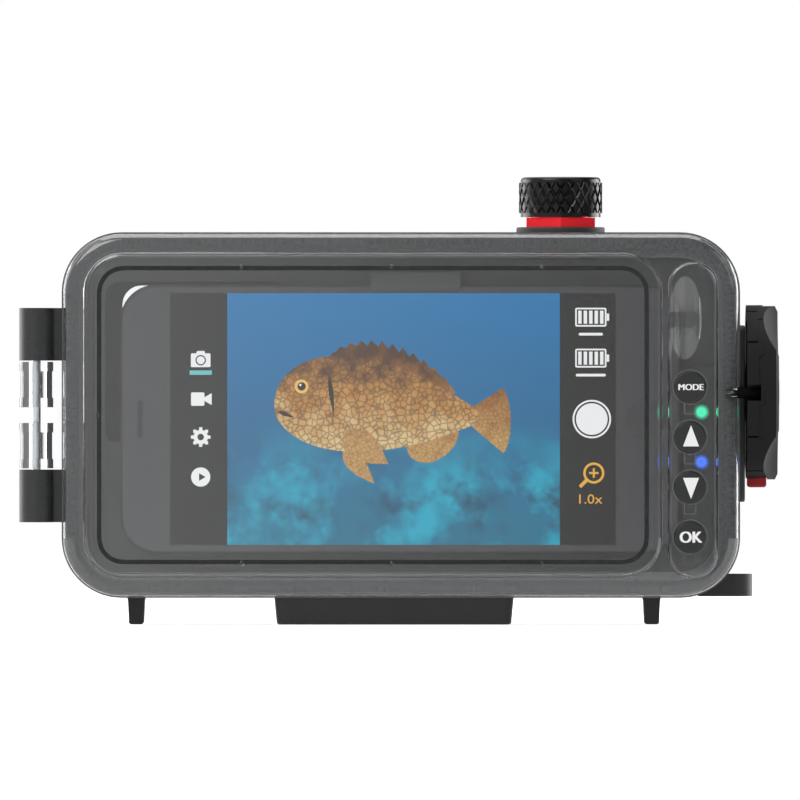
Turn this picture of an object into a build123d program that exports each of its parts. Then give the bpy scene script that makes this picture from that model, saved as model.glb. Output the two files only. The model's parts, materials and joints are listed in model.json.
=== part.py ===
"""Rigid waterproof phone housing: a black moulded shell and a clear hinged door, closed by a turning cam latch.

All sizes are in millimetres. +X is to the right of someone who looks at the screen, +Y points away from
them and +Z is up. The origin is the mouth of the tripod socket, in the face that the housing stands on.
The clear door is on the -Y side, and the lens window and the hand grip are on the +Y side.
"""

from build123d import *
import math
import os

# Phone that the housing is made for
PHONE_LENGTH = 154.2
PHONE_HEIGHT = 74.2
PHONE_THICKNESS = 7.5

# Outline of the housing, from the room left around the phone
ROOM_LEFT = 16.1
ROOM_RIGHT = 16.5
ROOM_BELOW = 12.1
ROOM_ABOVE = 14.4
BODY_WIDTH = PHONE_LENGTH + ROOM_LEFT + ROOM_RIGHT
BODY_HEIGHT = PHONE_HEIGHT + ROOM_BELOW + ROOM_ABOVE
BODY_CORNER = 16.5
BODY_SHIFT_X = 1.9
SHOE_HEIGHT = 7.4
WALL = 3.0
BODY_Z = SHOE_HEIGHT + BODY_HEIGHT / 2
LEFT = BODY_SHIFT_X - BODY_WIDTH / 2
RIGHT = BODY_SHIFT_X + BODY_WIDTH / 2
TOP = SHOE_HEIGHT + BODY_HEIGHT

# Depths of the shell
PARTING_Y = -14.0
SHELL_DEPTH = 29.0
SHELL_EDGE = 5.0
MOUTH_WIDTH = 7.0
MOUTH_DEPTH = 4.0

# Clear door
DOOR_GAP = 0.2
DOOR_INSET = 0.5
RIM_THICKNESS = 6.3
RIM_EDGE = 2.8
WINDOW_WIDTH = PHONE_LENGTH - 5.7
WINDOW_HEIGHT = PHONE_HEIGHT + 4.5
WINDOW_CORNER = 5.5
WINDOW_SHIFT_X = -7.5
WINDOW_X = LEFT + ROOM_LEFT + PHONE_LENGTH / 2 + WINDOW_SHIFT_X
WINDOW_SINK = 1.0
WINDOW_PLATE = 3.6
MOAT_WIDTH = 2.6
MOAT_DEPTH = 1.4
PIP_RADIUS = 0.8
PIP_PITCH = 41.25
PIP_SHIFT_X = 5.2
RIDGE_WIDTH = 2.8
RIDGE_RISE = 1.8
RIDGE_EDGE = 1.1
OUTER_GROOVE_WIDTH = 0.9
OUTER_GROOVE_DEPTH = 0.6
SPIGOT_CLEARANCE = 0.4
SPIGOT_WALL = 1.8
SPIGOT_DEPTH = 2.3

# Main seal
SEAL_INSET = 2.4
SEAL_GROOVE_WIDTH = 2.6
SEAL_GROOVE_DEPTH = 1.9
SEAL_SIDE_CLEARANCE = 0.15
SEAL_LIFT = 0.15
SEAL_EDGE = 0.8

# Button bay of the door
BAY_WIDTH = 13.8
BAY_HEIGHT = BODY_HEIGHT - 13.8
BAY_CORNER = 6.4
BAY_FROM_RIGHT = 13.0
BAY_X = RIGHT - BAY_FROM_RIGHT
BAY_SHIFT_Z = -1.4
BAY_RISE = 1.3
BAY_EDGE = 1.0
DISH_DEPTH = 1.2
DISH_HALF_WIDTH = 4.6
DISH_HALF_LENGTH = 0.131 * BAY_HEIGHT
DISH_X = BAY_X - 2.2
DISH_Z = BODY_Z + 0.308 * BAY_HEIGHT

# Push buttons
BUTTON_NAMES = ("mode", "up", "down", "ok")
BUTTON_X = BAY_X - 0.9
BUTTON_PITCH = 0.15823 * BAY_HEIGHT
TOP_BUTTON_Z = BODY_Z + 0.56 * BUTTON_PITCH
CAP_RADIUS = 4.4
CAP_THICKNESS = 1.6
CAP_RISE = 1.3
CAP_EDGE = 0.5
CAP_CLEARANCE = 0.35
CAP_RECESS = 1.6
BUTTON_TRAVEL = 1.2
SHAFT_RADIUS = 1.5
SHAFT_CLEARANCE = 0.06
SPRING_POCKET_RADIUS = 2.75
SPRING_POCKET_DEPTH = 2.3
SPRING_WIRE = 0.5
SPRING_TURNS = 2.5
GLAND_HEIGHT = 1.1
CLIP_RADIUS = 2.3
CLIP_THICKNESS = 0.5
CLIP_GAP = 0.05
KEYWAY_WIDTH = 3.4
KEYWAY_LENGTH = 3.8
KEYWAY_RISE = 0.35

# Hinge
HINGE_REACH = 7.0
KNUCKLE_RADIUS = 4.7
KNUCKLE_WAIST = 0.3
DOOR_KNUCKLE_LENGTH = 12.5
DOOR_KNUCKLE_FLANGE = 2.6
KNUCKLE_MIDDLE_GAP = 4.3
SHELL_KNUCKLE_LENGTH = 14.5
KNUCKLE_END_GAP = 0.35
PIN_RADIUS = 1.2
PIN_RUNNING = 0.06
HINGE_ARM_SINK = 2.0

# Cam latch
LATCH_PLATE_THICKNESS = 2.95
LATCH_RECESS = 1.55
LATCH_RECESS_CLEARANCE = 0.1
LATCH_PLATE_HEIGHT = 48.7
LATCH_PLATE_WIDTH = 23.0
LATCH_PLATE_Y = -1.5
LATCH_PLATE_Z = BODY_Z + 0.4
LATCH_PLATE_CORNER = 3.0
LATCH_POST_RADIUS = 3.0
DIAL_Y = 0.0
DIAL_Z = BODY_Z + 6.15
DIAL_RADIUS = 24.2
DIAL_THICKNESS = 8.7
DIAL_GAP = 0.5
DIAL_EDGE = 0.9
DIAL_BOSS_RADIUS = 8.0
DIAL_BOSS_GAP = 0.1
SPINDLE_RADIUS = 3.0
SPINDLE_RUNNING = 0.06
SPINDLE_NECK_RADIUS = 2.0
SPINDLE_HEAD_RADIUS = 4.15
SPINDLE_HEAD_HEIGHT = 1.6
SPINDLE_HEAD_RISE = 0.45
SPINDLE_HEAD_CLEARANCE = 0.3
NOTCH_COUNT = 11
NOTCH_PHASE_DEG = 13.8
NOTCH_WIDTH = 0.6
NOTCH_DEPTH = 0.9
NOTCH_LENGTH = 2.9
BAND_WIDTH = 3.1
BAND_STEP = 0.25
TAB_LENGTH = 1.5
TAB_HEIGHT = 4.2
TAB_EDGE = 1.2
SCALLOP_RADIUS = 27.4
SCALLOP_REACH = 30.0
SCALLOP_DEPTH = 4.8
SCALLOP_ANGLES_DEG = (57.0, 123.0, 238.0, 302.0)
CAM_RADIUS = 18.0
CAM_DEPTH = 3.75
CAM_CLEARANCE = 0.3
CAM_TURN_DEG = 95.0
CAM_END_DEG = 7.0
KEEPER_RADIUS = 1.5
KEEPER_ROOT = 4.0
KEEPER_END_GAP = 0.4

# Red lock button in the dial
LOCK_WIDTH = 10.0
LOCK_THICKNESS = 5.2
LOCK_LENGTH = 8.6
LOCK_RISE = 1.9
LOCK_TRAVEL = 1.5
LOCK_CLEARANCE = 0.3
LOCK_SHOULDER = 1.2
LOCK_SHOULDER_LENGTH = 2.0
LOCK_SPRING_ROOM = 4.0
LOCK_SPRING_RADIUS = 1.7

# Vacuum valve on the top wall
VALVE_X = RIGHT - 49.3
VALVE_Y = 0.5
WASHER_RADIUS = 12.2
WASHER_THICKNESS = 1.5
HEX_FLATS = 18.9
HEX_HEIGHT = 2.6
NIPPLE_RADIUS = 8.0
NIPPLE_HEIGHT = 7.2
VALVE_SHANK_RADIUS = 5.0
VALVE_PORT_RADIUS = 1.6
VALVE_NUT_FLATS = 14.0
VALVE_NUT_HEIGHT = 3.0
VALVE_NUT_ROOM = 10.0
KNOB_RADIUS = 11.5
KNOB_HEIGHT = 11.0
KNOB_GAP = 0.2
KNOB_EDGE = 1.0
KNOB_BAND_INSET = 0.45
KNOB_TOP_BAND = 1.5
KNOB_FOOT_BAND = 1.1
KNOB_ROOF = 3.0
KNOB_THREAD_CLEARANCE = 0.25
KNURL_COUNT = 26
KNURL_DEPTH = 0.45
KNURL_SLANT_DEG = 30.0
KNOB_SEAL_GAP = 0.02

# Lens window at the front
LENS_FROM_LEFT = 36.7
LENS_FROM_TOP = 35.9
LENS_X = LEFT + LENS_FROM_LEFT
LENS_Z = TOP - LENS_FROM_TOP
LENS_WIDTH = 50.0
LENS_HEIGHT = 45.0
LENS_CORNER = 4.0
LENS_LEDGE = 2.2
LENS_GLASS_THICKNESS = 3.0
LENS_GLASS_CLEARANCE = 0.3
LENS_GASKET = 1.0
LENS_BOSS_BORDER = 6.0
LENS_BOSS_RISE = 3.5
LENS_BOSS_CORNER = 8.0
LENS_FRAME_THICKNESS = 2.6
LENS_SCREW_INSET = 2.9

# Hand grip and battery bay at the front
GRIP_FROM_RIGHT = 21.8
GRIP_X = RIGHT - GRIP_FROM_RIGHT
GRIP_WIDTH = 34.0
GRIP_MARGIN = 9.35
GRIP_HEIGHT = BODY_HEIGHT - 2 * GRIP_MARGIN
GRIP_RISE = 16.0
GRIP_CORNER = 14.0
GRIP_EDGE = 8.0
GRIP_INNER_EDGE = 1.5
CELL_RADIUS = 5.25
CELL_LENGTH = 44.5
CELL_PITCH = 11.2
HOLDER_WALL = 1.2
HOLDER_DEPTH = 13.0
CELL_CLEARANCE = 0.2

# Shutter lever at the front
LEVER_X = RIGHT - 71.3
LEVER_Y = 21.0
LEVER_Z = TOP - 17.1
LEVER_HEIGHT = 12.4
LEVER_LENGTH = 30.0
LEVER_THICKNESS = 3.0
LEVER_BARREL = 3.0
LEVER_PAD_LENGTH = 12.0
LEVER_PAD_HEIGHT = 17.0
LEVER_EAR = 2.5
LEVER_END_GAP = 0.3
LEVER_PIN_RADIUS = 1.2
PLUNGER_REACH = 18.0
PLUNGER_RADIUS = 1.5
PLUNGER_HEAD_RADIUS = 3.0
PLUNGER_HEAD_HEIGHT = 1.2
PLUNGER_GAP = 0.3
PLUNGER_LENGTH = 18.0
PLUNGER_TRAVEL = 1.9
PLUNGER_SPRING_RADIUS = 2.3

# Phone's shape and place
PHONE_CORNER = 10.0
PHONE_EDGE = 2.4
PHONE_LEFT = LEFT + ROOM_LEFT
PHONE_BOTTOM = SHOE_HEIGHT + ROOM_BELOW
PHONE_DOOR_GAP = 1.3
PHONE_GLASS = 0.6
PHONE_GLASS_INSET = 0.7
HOME_RADIUS = 5.5
HOME_FROM_END = 9.3
HOME_SINK = 0.1
EARPIECE_LENGTH = 10.0
EARPIECE_WIDTH = 1.4
EARPIECE_FROM_END = 5.5
PHONE_CAMERA_RADIUS = 4.6
PHONE_CAMERA_INSET = 11.0
PHONE_CAMERA_RISE = 1.0

# Phone tray and what is on it
TRAY_THICKNESS = 2.0
TRAY_CLEARANCE = 1.2
TRAY_CORNER = 11.0
PAD_THICKNESS = 0.5
PAD_LENGTH = 18.0
PAD_WIDTH = 6.0
PAD_FROM_EDGE = 10.0
PAD_FROM_LEFT = 18.0
PAD_FROM_MIDDLE = 4.0
PAD_FROM_RIGHT = 22.0
BUMPER_LENGTH = 16.0
BUMPER_WIDTH = 3.6
BUMPER_HEIGHT = 4.8
BUMPER_FROM_END = 28.0
BUMPER_DROP = 14.0
CLAMP_X = PHONE_LEFT + PHONE_LENGTH / 2 + 4.2
CLAMP_LENGTH = 24.5
CLAMP_WIDTH = 3.3
CLAMP_LIP = 1.5
CLAMP_LIP_THICKNESS = 0.55
POST_RADIUS = 3.3
POST_INSET_X = 9.3
POST_INSET_Z = 9.8
SCREW_RADIUS = 1.2
SCREW_HEAD_RADIUS = 2.1
SCREW_HEAD_HEIGHT = 1.3
SCREW_DEPTH = 6.0

# Control board beside the phone
BOARD_CLEARANCE = 0.6
BOARD_WIDTH = 9.6
BOARD_HEIGHT = 3 * BUTTON_PITCH + 11.75
BOARD_THICKNESS = 1.5
BOARD_LIFT = 1.4
SWITCH_SIZE = 3.5
SWITCH_HEIGHT = 1.4
SWITCH_TIP_RADIUS = 0.8
SWITCH_TIP_HEIGHT = 0.5
LED_X = BAY_X + 2.4
LED_RADIUS = 1.25
LED_HEIGHT = 2.2

# Tripod shoe, feet and lanyard eye
SHOE_WIDTH = 66.0
SHOE_TAPER = 0.7
SHOE_DEPTH = 27.0
SHOE_CORNER = 3.0
SOCKET_RADIUS = 2.55
INSERT_RADIUS = 5.0
INSERT_LENGTH = 6.8
SHOE_SCREW_X = 24.0
SHOE_SCREW_HEAD = 2.2
FOOT_FROM_SIDE = 22.3
FOOT_X = BODY_WIDTH / 2 - FOOT_FROM_SIDE
FOOT_WIDTH = 4.0
FOOT_FLARE = 0.9
FOOT_DEPTH = 18.0
FOOT_Y = 3.0
EYE_X = RIGHT - 1.8
EYE_Y = 4.0
EYE_RADIUS = 5.5
EYE_HOLE = 2.75
EYE_BOTTOM = 7.7
EYE_THICKNESS = 6.2
EYE_REACH = 9.5
EYE_SEAT = 1.2

# Places worked out from the sizes above
SHELL_FRONT = PARTING_Y + SHELL_DEPTH
FLOOR_Y = SHELL_FRONT - WALL
DOOR_BACK = PARTING_Y - DOOR_GAP
RIM_FACE = DOOR_BACK - RIM_THICKNESS
WINDOW_FACE = RIM_FACE + WINDOW_SINK
PLATE_BACK = WINDOW_FACE + WINDOW_PLATE
BAY_FACE = RIM_FACE - BAY_RISE
HINGE_X = LEFT - HINGE_REACH
CAP_FACE = BAY_FACE - CAP_RISE
RECESS_FLOOR = BAY_FACE + CAP_RECESS
POCKET_FLOOR = RECESS_FLOOR + SPRING_POCKET_DEPTH
BUTTON_ZS = [TOP_BUTTON_Z - BUTTON_PITCH * n for n in range(len(BUTTON_NAMES))]
PLATE_SEAT = RIGHT - LATCH_RECESS
PLATE_OUTER = PLATE_SEAT + LATCH_PLATE_THICKNESS
DIAL_INNER = PLATE_OUTER + DIAL_GAP
DIAL_OUTER = DIAL_INNER + DIAL_THICKNESS
KEEPER_Y = DIAL_Y - CAM_RADIUS
PHONE_FRONT = PLATE_BACK + PHONE_DOOR_GAP
PHONE_BACK = PHONE_FRONT + PHONE_THICKNESS
PHONE_X = PHONE_LEFT + PHONE_LENGTH / 2
PHONE_RIGHT = PHONE_LEFT + PHONE_LENGTH
PHONE_Z = PHONE_BOTTOM + PHONE_HEIGHT / 2
PHONE_TOP = PHONE_BOTTOM + PHONE_HEIGHT
TRAY_FACE = PHONE_BACK + PAD_THICKNESS
TRAY_BACK = TRAY_FACE + TRAY_THICKNESS
BOARD_LEFT = PHONE_RIGHT + BOARD_CLEARANCE
BOARD_X = BOARD_LEFT + BOARD_WIDTH / 2
BOARD_BACK = TRAY_FACE - BOARD_LIFT
BOARD_FRONT = BOARD_BACK - BOARD_THICKNESS
BOARD_Z = (BUTTON_ZS[0] + BUTTON_ZS[-1]) / 2
LED_ZS = [(BUTTON_ZS[n] + BUTTON_ZS[n + 1]) / 2 for n in range(2)]
WASHER_TOP = TOP + WASHER_THICKNESS
HEX_TOP = WASHER_TOP + HEX_HEIGHT
KNOB_FOOT = HEX_TOP + KNOB_GAP
KNOB_TOP = KNOB_FOOT + KNOB_HEIGHT
NIPPLE_TOP = HEX_TOP + NIPPLE_HEIGHT
LENS_BOSS_FRONT = SHELL_FRONT + LENS_BOSS_RISE
GLASS_BACK = LENS_BOSS_FRONT - LENS_GLASS_THICKNESS
GRIP_FRONT = SHELL_FRONT + GRIP_RISE


def panel(x, z, width, height, corner, near, far):
    """Rounded plate that faces the user: from y = near to y = far."""
    plane = Plane(origin=(x, far, z), x_dir=(1, 0, 0), z_dir=(0, -1, 0))
    return extrude(plane * RectangleRounded(width, height, corner), amount=far - near)


def body_panel(inset, near, far):
    """Plate with the housing's outline, drawn in by inset."""
    return panel(
        BODY_SHIFT_X, BODY_Z, BODY_WIDTH - 2 * inset, BODY_HEIGHT - 2 * inset,
        BODY_CORNER - inset, near, far,
    )


def window_panel(grow, near, far):
    """Plate with the outline of the door's window, grown by grow."""
    return panel(
        WINDOW_X, BODY_Z, WINDOW_WIDTH + 2 * grow, WINDOW_HEIGHT + 2 * grow,
        WINDOW_CORNER + grow, near, far,
    )


def box(x0, x1, y0, y1, z0, z1):
    """Plain block between two corners."""
    return Pos((x0 + x1) / 2, (y0 + y1) / 2, (z0 + z1) / 2) * Box(x1 - x0, y1 - y0, z1 - z0)


def rod_x(x0, x1, y, z, radius):
    """Round bar along X."""
    return extrude(Plane(origin=(x0, y, z), z_dir=(1, 0, 0)) * Circle(radius), amount=x1 - x0)


def rod_y(y0, y1, x, z, radius):
    """Round bar along Y."""
    return extrude(Plane(origin=(x, y0, z), z_dir=(0, 1, 0)) * Circle(radius), amount=y1 - y0)


def rod_z(z0, z1, x, y, radius):
    """Round bar along Z."""
    return extrude(Plane(origin=(x, y, z0), z_dir=(0, 0, 1)) * Circle(radius), amount=z1 - z0)


def edges_at_y(solid, y):
    """The edges that lie in the plane at this y."""
    return [e for e in solid.edges() if abs(e.bounding_box().min.Y - y) < 1e-4 and abs(e.bounding_box().max.Y - y) < 1e-4]


def edges_at_x(solid, x):
    """The edges that lie in the plane at this x."""
    return [e for e in solid.edges() if abs(e.bounding_box().min.X - x) < 1e-4 and abs(e.bounding_box().max.X - x) < 1e-4]


def edges_at_z(solid, z):
    """The edges that lie in the plane at this z."""
    return [e for e in solid.edges() if abs(e.bounding_box().min.Z - z) < 1e-4 and abs(e.bounding_box().max.Z - z) < 1e-4]


def coil(plane, radius, length, turns, wire):
    """Compression spring of square wire, from the plane's origin along its normal."""
    rise = length - wire
    path = Helix(pitch=rise / turns, height=rise, radius=radius)
    start = Plane(origin=path @ 0, z_dir=path % 0, x_dir=(1, 0, 0))
    wound = sweep(start * Rectangle(wire, wire), path=path, is_frenet=True)
    return plane * Pos(0, 0, wire / 2) * wound


def screw(plane, depth, head_radius=SCREW_HEAD_RADIUS):
    """Socket screw: its head stands on the plane and its shank goes the other way."""
    head = extrude(Circle(head_radius), amount=SCREW_HEAD_HEIGHT)
    socket = extrude(Pos(0, 0, SCREW_HEAD_HEIGHT / 2) * RegularPolygon(head_radius * 0.5, 6), amount=SCREW_HEAD_HEIGHT)
    shank = extrude(Circle(SCREW_RADIUS), amount=-depth)
    return plane * (head + shank - socket)


# Black moulded shell

def tray_posts():
    """Places of the four posts that carry the phone tray."""
    xs = (LEFT + POST_INSET_X, RIGHT - POST_INSET_X)
    zs = (SHOE_HEIGHT + POST_INSET_Z, TOP - POST_INSET_Z)
    return [(x, z) for x in xs for z in zs]


def lens_screws():
    """Places of the four screws of the lens window's frame."""
    half_w = LENS_WIDTH / 2 + LENS_BOSS_BORDER - LENS_SCREW_INSET
    half_h = LENS_HEIGHT / 2 + LENS_BOSS_BORDER - LENS_SCREW_INSET
    return [(LENS_X + sx * half_w, LENS_Z + sz * half_h) for sx in (-1, 1) for sz in (-1, 1)]


def latch_panel(grow, x0, x1):
    """Plate with the latch plate's outline, grown by grow."""
    plane = Plane.YZ.offset(x0) * Pos(LATCH_PLATE_Y, LATCH_PLATE_Z)
    outline = RectangleRounded(LATCH_PLATE_WIDTH + 2 * grow, LATCH_PLATE_HEIGHT + 2 * grow, LATCH_PLATE_CORNER + grow)
    return extrude(plane * outline, amount=x1 - x0)


def latch_screws():
    """Places (y, z) of the latch plate's two screws."""
    reach = LATCH_PLATE_HEIGHT / 2 - 3.2
    return [(LATCH_PLATE_Y, LATCH_PLATE_Z - reach), (LATCH_PLATE_Y, LATCH_PLATE_Z + reach)]


def hinge_arm(z0, z1, near, far, x_end):
    """Flat arm that joins a hinge barrel to a wall."""
    return box(HINGE_X, x_end, near, far, z0, z1)


def shell_knuckles():
    """Two black hinge barrels with their arms."""
    inner = KNUCKLE_MIDDLE_GAP / 2 + DOOR_KNUCKLE_LENGTH + KNUCKLE_END_GAP
    made = []
    for side in (-1, 1):
        z0, z1 = sorted((BODY_Z + side * inner, BODY_Z + side * (inner + SHELL_KNUCKLE_LENGTH)))
        barrel = rod_z(z0, z1, HINGE_X, PARTING_Y, KNUCKLE_RADIUS)
        arm = hinge_arm(z0, z1, PARTING_Y + 0.1, PARTING_Y + KNUCKLE_RADIUS, LEFT + HINGE_ARM_SINK)
        bore = rod_z(z0, z1, HINGE_X, PARTING_Y, PIN_RADIUS)
        made.append(barrel + arm - bore)
    return made


def foot(x):
    """Small foot under the shell, a little wider where it is pressed into the wall."""
    half = FOOT_WIDTH / 2
    plane = Plane(origin=(x, FOOT_Y + FOOT_DEPTH / 2, 0), x_dir=(1, 0, 0), z_dir=(0, -1, 0))
    outline = Polygon(
        (-half, 0), (half, 0), (half + FOOT_FLARE / 3, SHOE_HEIGHT - FOOT_FLARE),
        (half + FOOT_FLARE, SHOE_HEIGHT + WALL / 2), (-half - FOOT_FLARE, SHOE_HEIGHT + WALL / 2),
        (-half - FOOT_FLARE / 3, SHOE_HEIGHT - FOOT_FLARE), align=None,
    )
    solid = extrude(plane * outline, amount=FOOT_DEPTH)
    return fillet(edges_at_z(solid, 0), 0.8)


def feet():
    """The two feet."""
    return [foot(-FOOT_X), foot(FOOT_X)]


def grip_shell():
    """Hand grip that bulges from the front wall."""
    solid = panel(GRIP_X, BODY_Z, GRIP_WIDTH, GRIP_HEIGHT, GRIP_CORNER, SHELL_FRONT - WALL, GRIP_FRONT)
    return fillet(edges_at_y(solid, GRIP_FRONT), GRIP_EDGE)


def lever_ears():
    """Two ears that hold the shutter lever's pin."""
    half = LEVER_HEIGHT / 2 + LEVER_END_GAP
    made = []
    for side in (-1, 1):
        z0, z1 = sorted((LEVER_Z + side * half, LEVER_Z + side * (half + LEVER_EAR)))
        base = box(LEVER_X - LEVER_BARREL, LEVER_X + LEVER_BARREL, SHELL_FRONT - 1, LEVER_Y, z0, z1)
        made.append(base + rod_z(z0, z1, LEVER_X, LEVER_Y, LEVER_BARREL))
    return made


def lens_boss():
    """Raised pad round the lens window."""
    return panel(
        LENS_X, LENS_Z, LENS_WIDTH + 2 * LENS_BOSS_BORDER, LENS_HEIGHT + 2 * LENS_BOSS_BORDER,
        LENS_BOSS_CORNER, SHELL_FRONT - WALL, LENS_BOSS_FRONT,
    )


def lug_blank():
    """The lanyard lug without its hole, shaped to sit in the shell's lower right corner."""
    end = rod_z(EYE_BOTTOM, EYE_BOTTOM + EYE_THICKNESS, EYE_X, EYE_Y, EYE_RADIUS)
    arm = box(
        EYE_X - EYE_REACH, EYE_X, EYE_Y - EYE_RADIUS, EYE_Y + EYE_RADIUS,
        EYE_BOTTOM, EYE_BOTTOM + EYE_THICKNESS,
    )
    return end + arm - body_panel(EYE_SEAT, PARTING_Y, SHELL_FRONT)


def lanyard_lug():
    """Flat lug with an eye, bonded into a seat in the shell's corner."""
    return lug_blank() - rod_z(EYE_BOTTOM, EYE_BOTTOM + EYE_THICKNESS, EYE_X, EYE_Y, EYE_HOLE)


def front_shell():
    """The whole black shell, with every seat that other pieces need."""
    solid = body_panel(0, PARTING_Y, SHELL_FRONT)
    solid = fillet(edges_at_y(solid, SHELL_FRONT), SHELL_EDGE)
    solid += grip_shell()
    solid += lens_boss()
    for piece in lever_ears():
        solid += piece
    cavity = body_panel(WALL, PARTING_Y + MOUTH_DEPTH, FLOOR_Y)
    solid -= fillet(edges_at_y(cavity, FLOOR_Y), SHELL_EDGE - 1)
    solid -= body_panel(MOUTH_WIDTH, PARTING_Y, PARTING_Y + MOUTH_DEPTH)
    grip_room = panel(
        GRIP_X, BODY_Z, GRIP_WIDTH - 2 * WALL, GRIP_HEIGHT - 2 * WALL,
        GRIP_CORNER - WALL, FLOOR_Y, GRIP_FRONT - WALL,
    )
    solid -= fillet(edges_at_y(grip_room, GRIP_FRONT - WALL), GRIP_INNER_EDGE)
    for x, z in tray_posts():
        solid += rod_y(TRAY_BACK, FLOOR_Y + WALL / 2, x, z, POST_RADIUS)
    for piece in shell_knuckles():
        solid += piece
    for y, z in latch_screws():
        solid += rod_x(PLATE_SEAT - WALL - 3, PLATE_SEAT - WALL / 4, y, z, LATCH_POST_RADIUS)
    for piece in [lug_blank(), *feet()]:
        solid -= piece
    solid -= panel(LENS_X, LENS_Z, LENS_WIDTH, LENS_HEIGHT, LENS_CORNER, FLOOR_Y - 1, LENS_BOSS_FRONT)
    solid -= panel(
        LENS_X, LENS_Z, LENS_WIDTH + 2 * LENS_LEDGE, LENS_HEIGHT + 2 * LENS_LEDGE,
        LENS_CORNER + 1, GLASS_BACK - LENS_GASKET, LENS_BOSS_FRONT,
    )
    for x, z in tray_posts():
        solid -= rod_y(TRAY_BACK, TRAY_BACK + SCREW_DEPTH, x, z, SCREW_RADIUS)
    for x, z in lens_screws():
        solid -= rod_y(LENS_BOSS_FRONT - SCREW_DEPTH / 2, LENS_BOSS_FRONT, x, z, SCREW_RADIUS)
    solid -= latch_panel(LATCH_RECESS_CLEARANCE, PLATE_SEAT, RIGHT + 1)
    for y, z in latch_screws():
        solid -= rod_x(PLATE_SEAT - SCREW_DEPTH + 1, PLATE_SEAT, y, z, SCREW_RADIUS)
    for side in (-1, 1):
        solid -= rod_z(SHOE_HEIGHT, SHOE_HEIGHT + WALL - 0.6, side * SHOE_SCREW_X, 0, SCREW_RADIUS)
    half = LEVER_HEIGHT / 2 + LEVER_END_GAP + LEVER_EAR
    solid -= rod_z(LEVER_Z - half, LEVER_Z + half, LEVER_X, LEVER_Y, LEVER_PIN_RADIUS)
    solid -= rod_y(FLOOR_Y, SHELL_FRONT, LEVER_X + PLUNGER_REACH, LEVER_Z, PLUNGER_RADIUS + SHAFT_CLEARANCE)
    solid -= rod_z(TOP - WALL, TOP, VALVE_X, VALVE_Y, VALVE_SHANK_RADIUS)
    return solid


# Clear door

def door_knuckles():
    """Two clear hinge barrels, each with thicker ends, on one web with a slot between them."""
    half = KNUCKLE_MIDDLE_GAP / 2
    near, far = PARTING_Y - KNUCKLE_RADIUS, DOOR_BACK
    solid = hinge_arm(
        BODY_Z - half - DOOR_KNUCKLE_LENGTH, BODY_Z + half + DOOR_KNUCKLE_LENGTH,
        near + 1.2, far, LEFT + HINGE_ARM_SINK,
    )
    for side in (-1, 1):
        z0, z1 = sorted((BODY_Z + side * half, BODY_Z + side * (half + DOOR_KNUCKLE_LENGTH)))
        solid += rod_z(z0, z1, HINGE_X, PARTING_Y, KNUCKLE_RADIUS - KNUCKLE_WAIST)
        for f0, f1 in ((z0, z0 + DOOR_KNUCKLE_FLANGE), (z1 - DOOR_KNUCKLE_FLANGE, z1)):
            solid += rod_z(f0, f1, HINGE_X, PARTING_Y, KNUCKLE_RADIUS)
            solid += hinge_arm(f0, f1, near, far, LEFT + HINGE_ARM_SINK)
    slot_x = LEFT - half - 0.6
    solid -= box(HINGE_X - KNUCKLE_RADIUS, slot_x, near, PARTING_Y + KNUCKLE_RADIUS, BODY_Z - half, BODY_Z + half)
    solid -= rod_y(near, far, slot_x, BODY_Z, half)
    reach = half + DOOR_KNUCKLE_LENGTH
    solid -= rod_z(BODY_Z - reach, BODY_Z + reach, HINGE_X, PARTING_Y, PIN_RADIUS + PIN_RUNNING)
    return solid


def thumb_dish():
    """Long shallow scoop above the buttons, as a barrel that dips into the bay's face."""
    barrel = (DISH_HALF_WIDTH**2 + DISH_DEPTH**2) / (2 * DISH_DEPTH)
    profile = Plane.XZ * make_face([
        Line((0, -DISH_HALF_LENGTH), (barrel - DISH_DEPTH, -DISH_HALF_LENGTH)),
        ThreePointArc(
            (barrel - DISH_DEPTH, -DISH_HALF_LENGTH), (barrel, 0), (barrel - DISH_DEPTH, DISH_HALF_LENGTH)
        ),
        Line((barrel - DISH_DEPTH, DISH_HALF_LENGTH), (0, DISH_HALF_LENGTH)),
        Line((0, DISH_HALF_LENGTH), (0, -DISH_HALF_LENGTH)),
    ])
    return Pos(DISH_X, BAY_FACE + DISH_DEPTH - barrel, DISH_Z) * revolve(profile, Axis.Z)


def moat_pips():
    """Small moulded domes on the floor of the moat round the window."""
    floor = WINDOW_FACE + MOAT_DEPTH
    up = (WINDOW_HEIGHT + MOAT_WIDTH) / 2
    places = [(WINDOW_X + PIP_SHIFT_X + n * PIP_PITCH, BODY_Z + side * up) for n in (-1, 0, 1) for side in (-1, 1)]
    places.append((WINDOW_X - (WINDOW_WIDTH + MOAT_WIDTH) / 2, BODY_Z))
    return [Pos(x, floor, z) * Sphere(PIP_RADIUS) for x, z in places]


def button_seat(z):
    """What is cut from the bay for one button: its recess, spring pocket and shaft bore."""
    cut = rod_y(BAY_FACE - 1, RECESS_FLOOR, BUTTON_X, z, CAP_RADIUS + CAP_CLEARANCE)
    cut += rod_y(RECESS_FLOOR, POCKET_FLOOR, BUTTON_X, z, SPRING_POCKET_RADIUS)
    return cut + rod_y(POCKET_FLOOR, PLATE_BACK, BUTTON_X, z, SHAFT_RADIUS + SHAFT_CLEARANCE)


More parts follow.
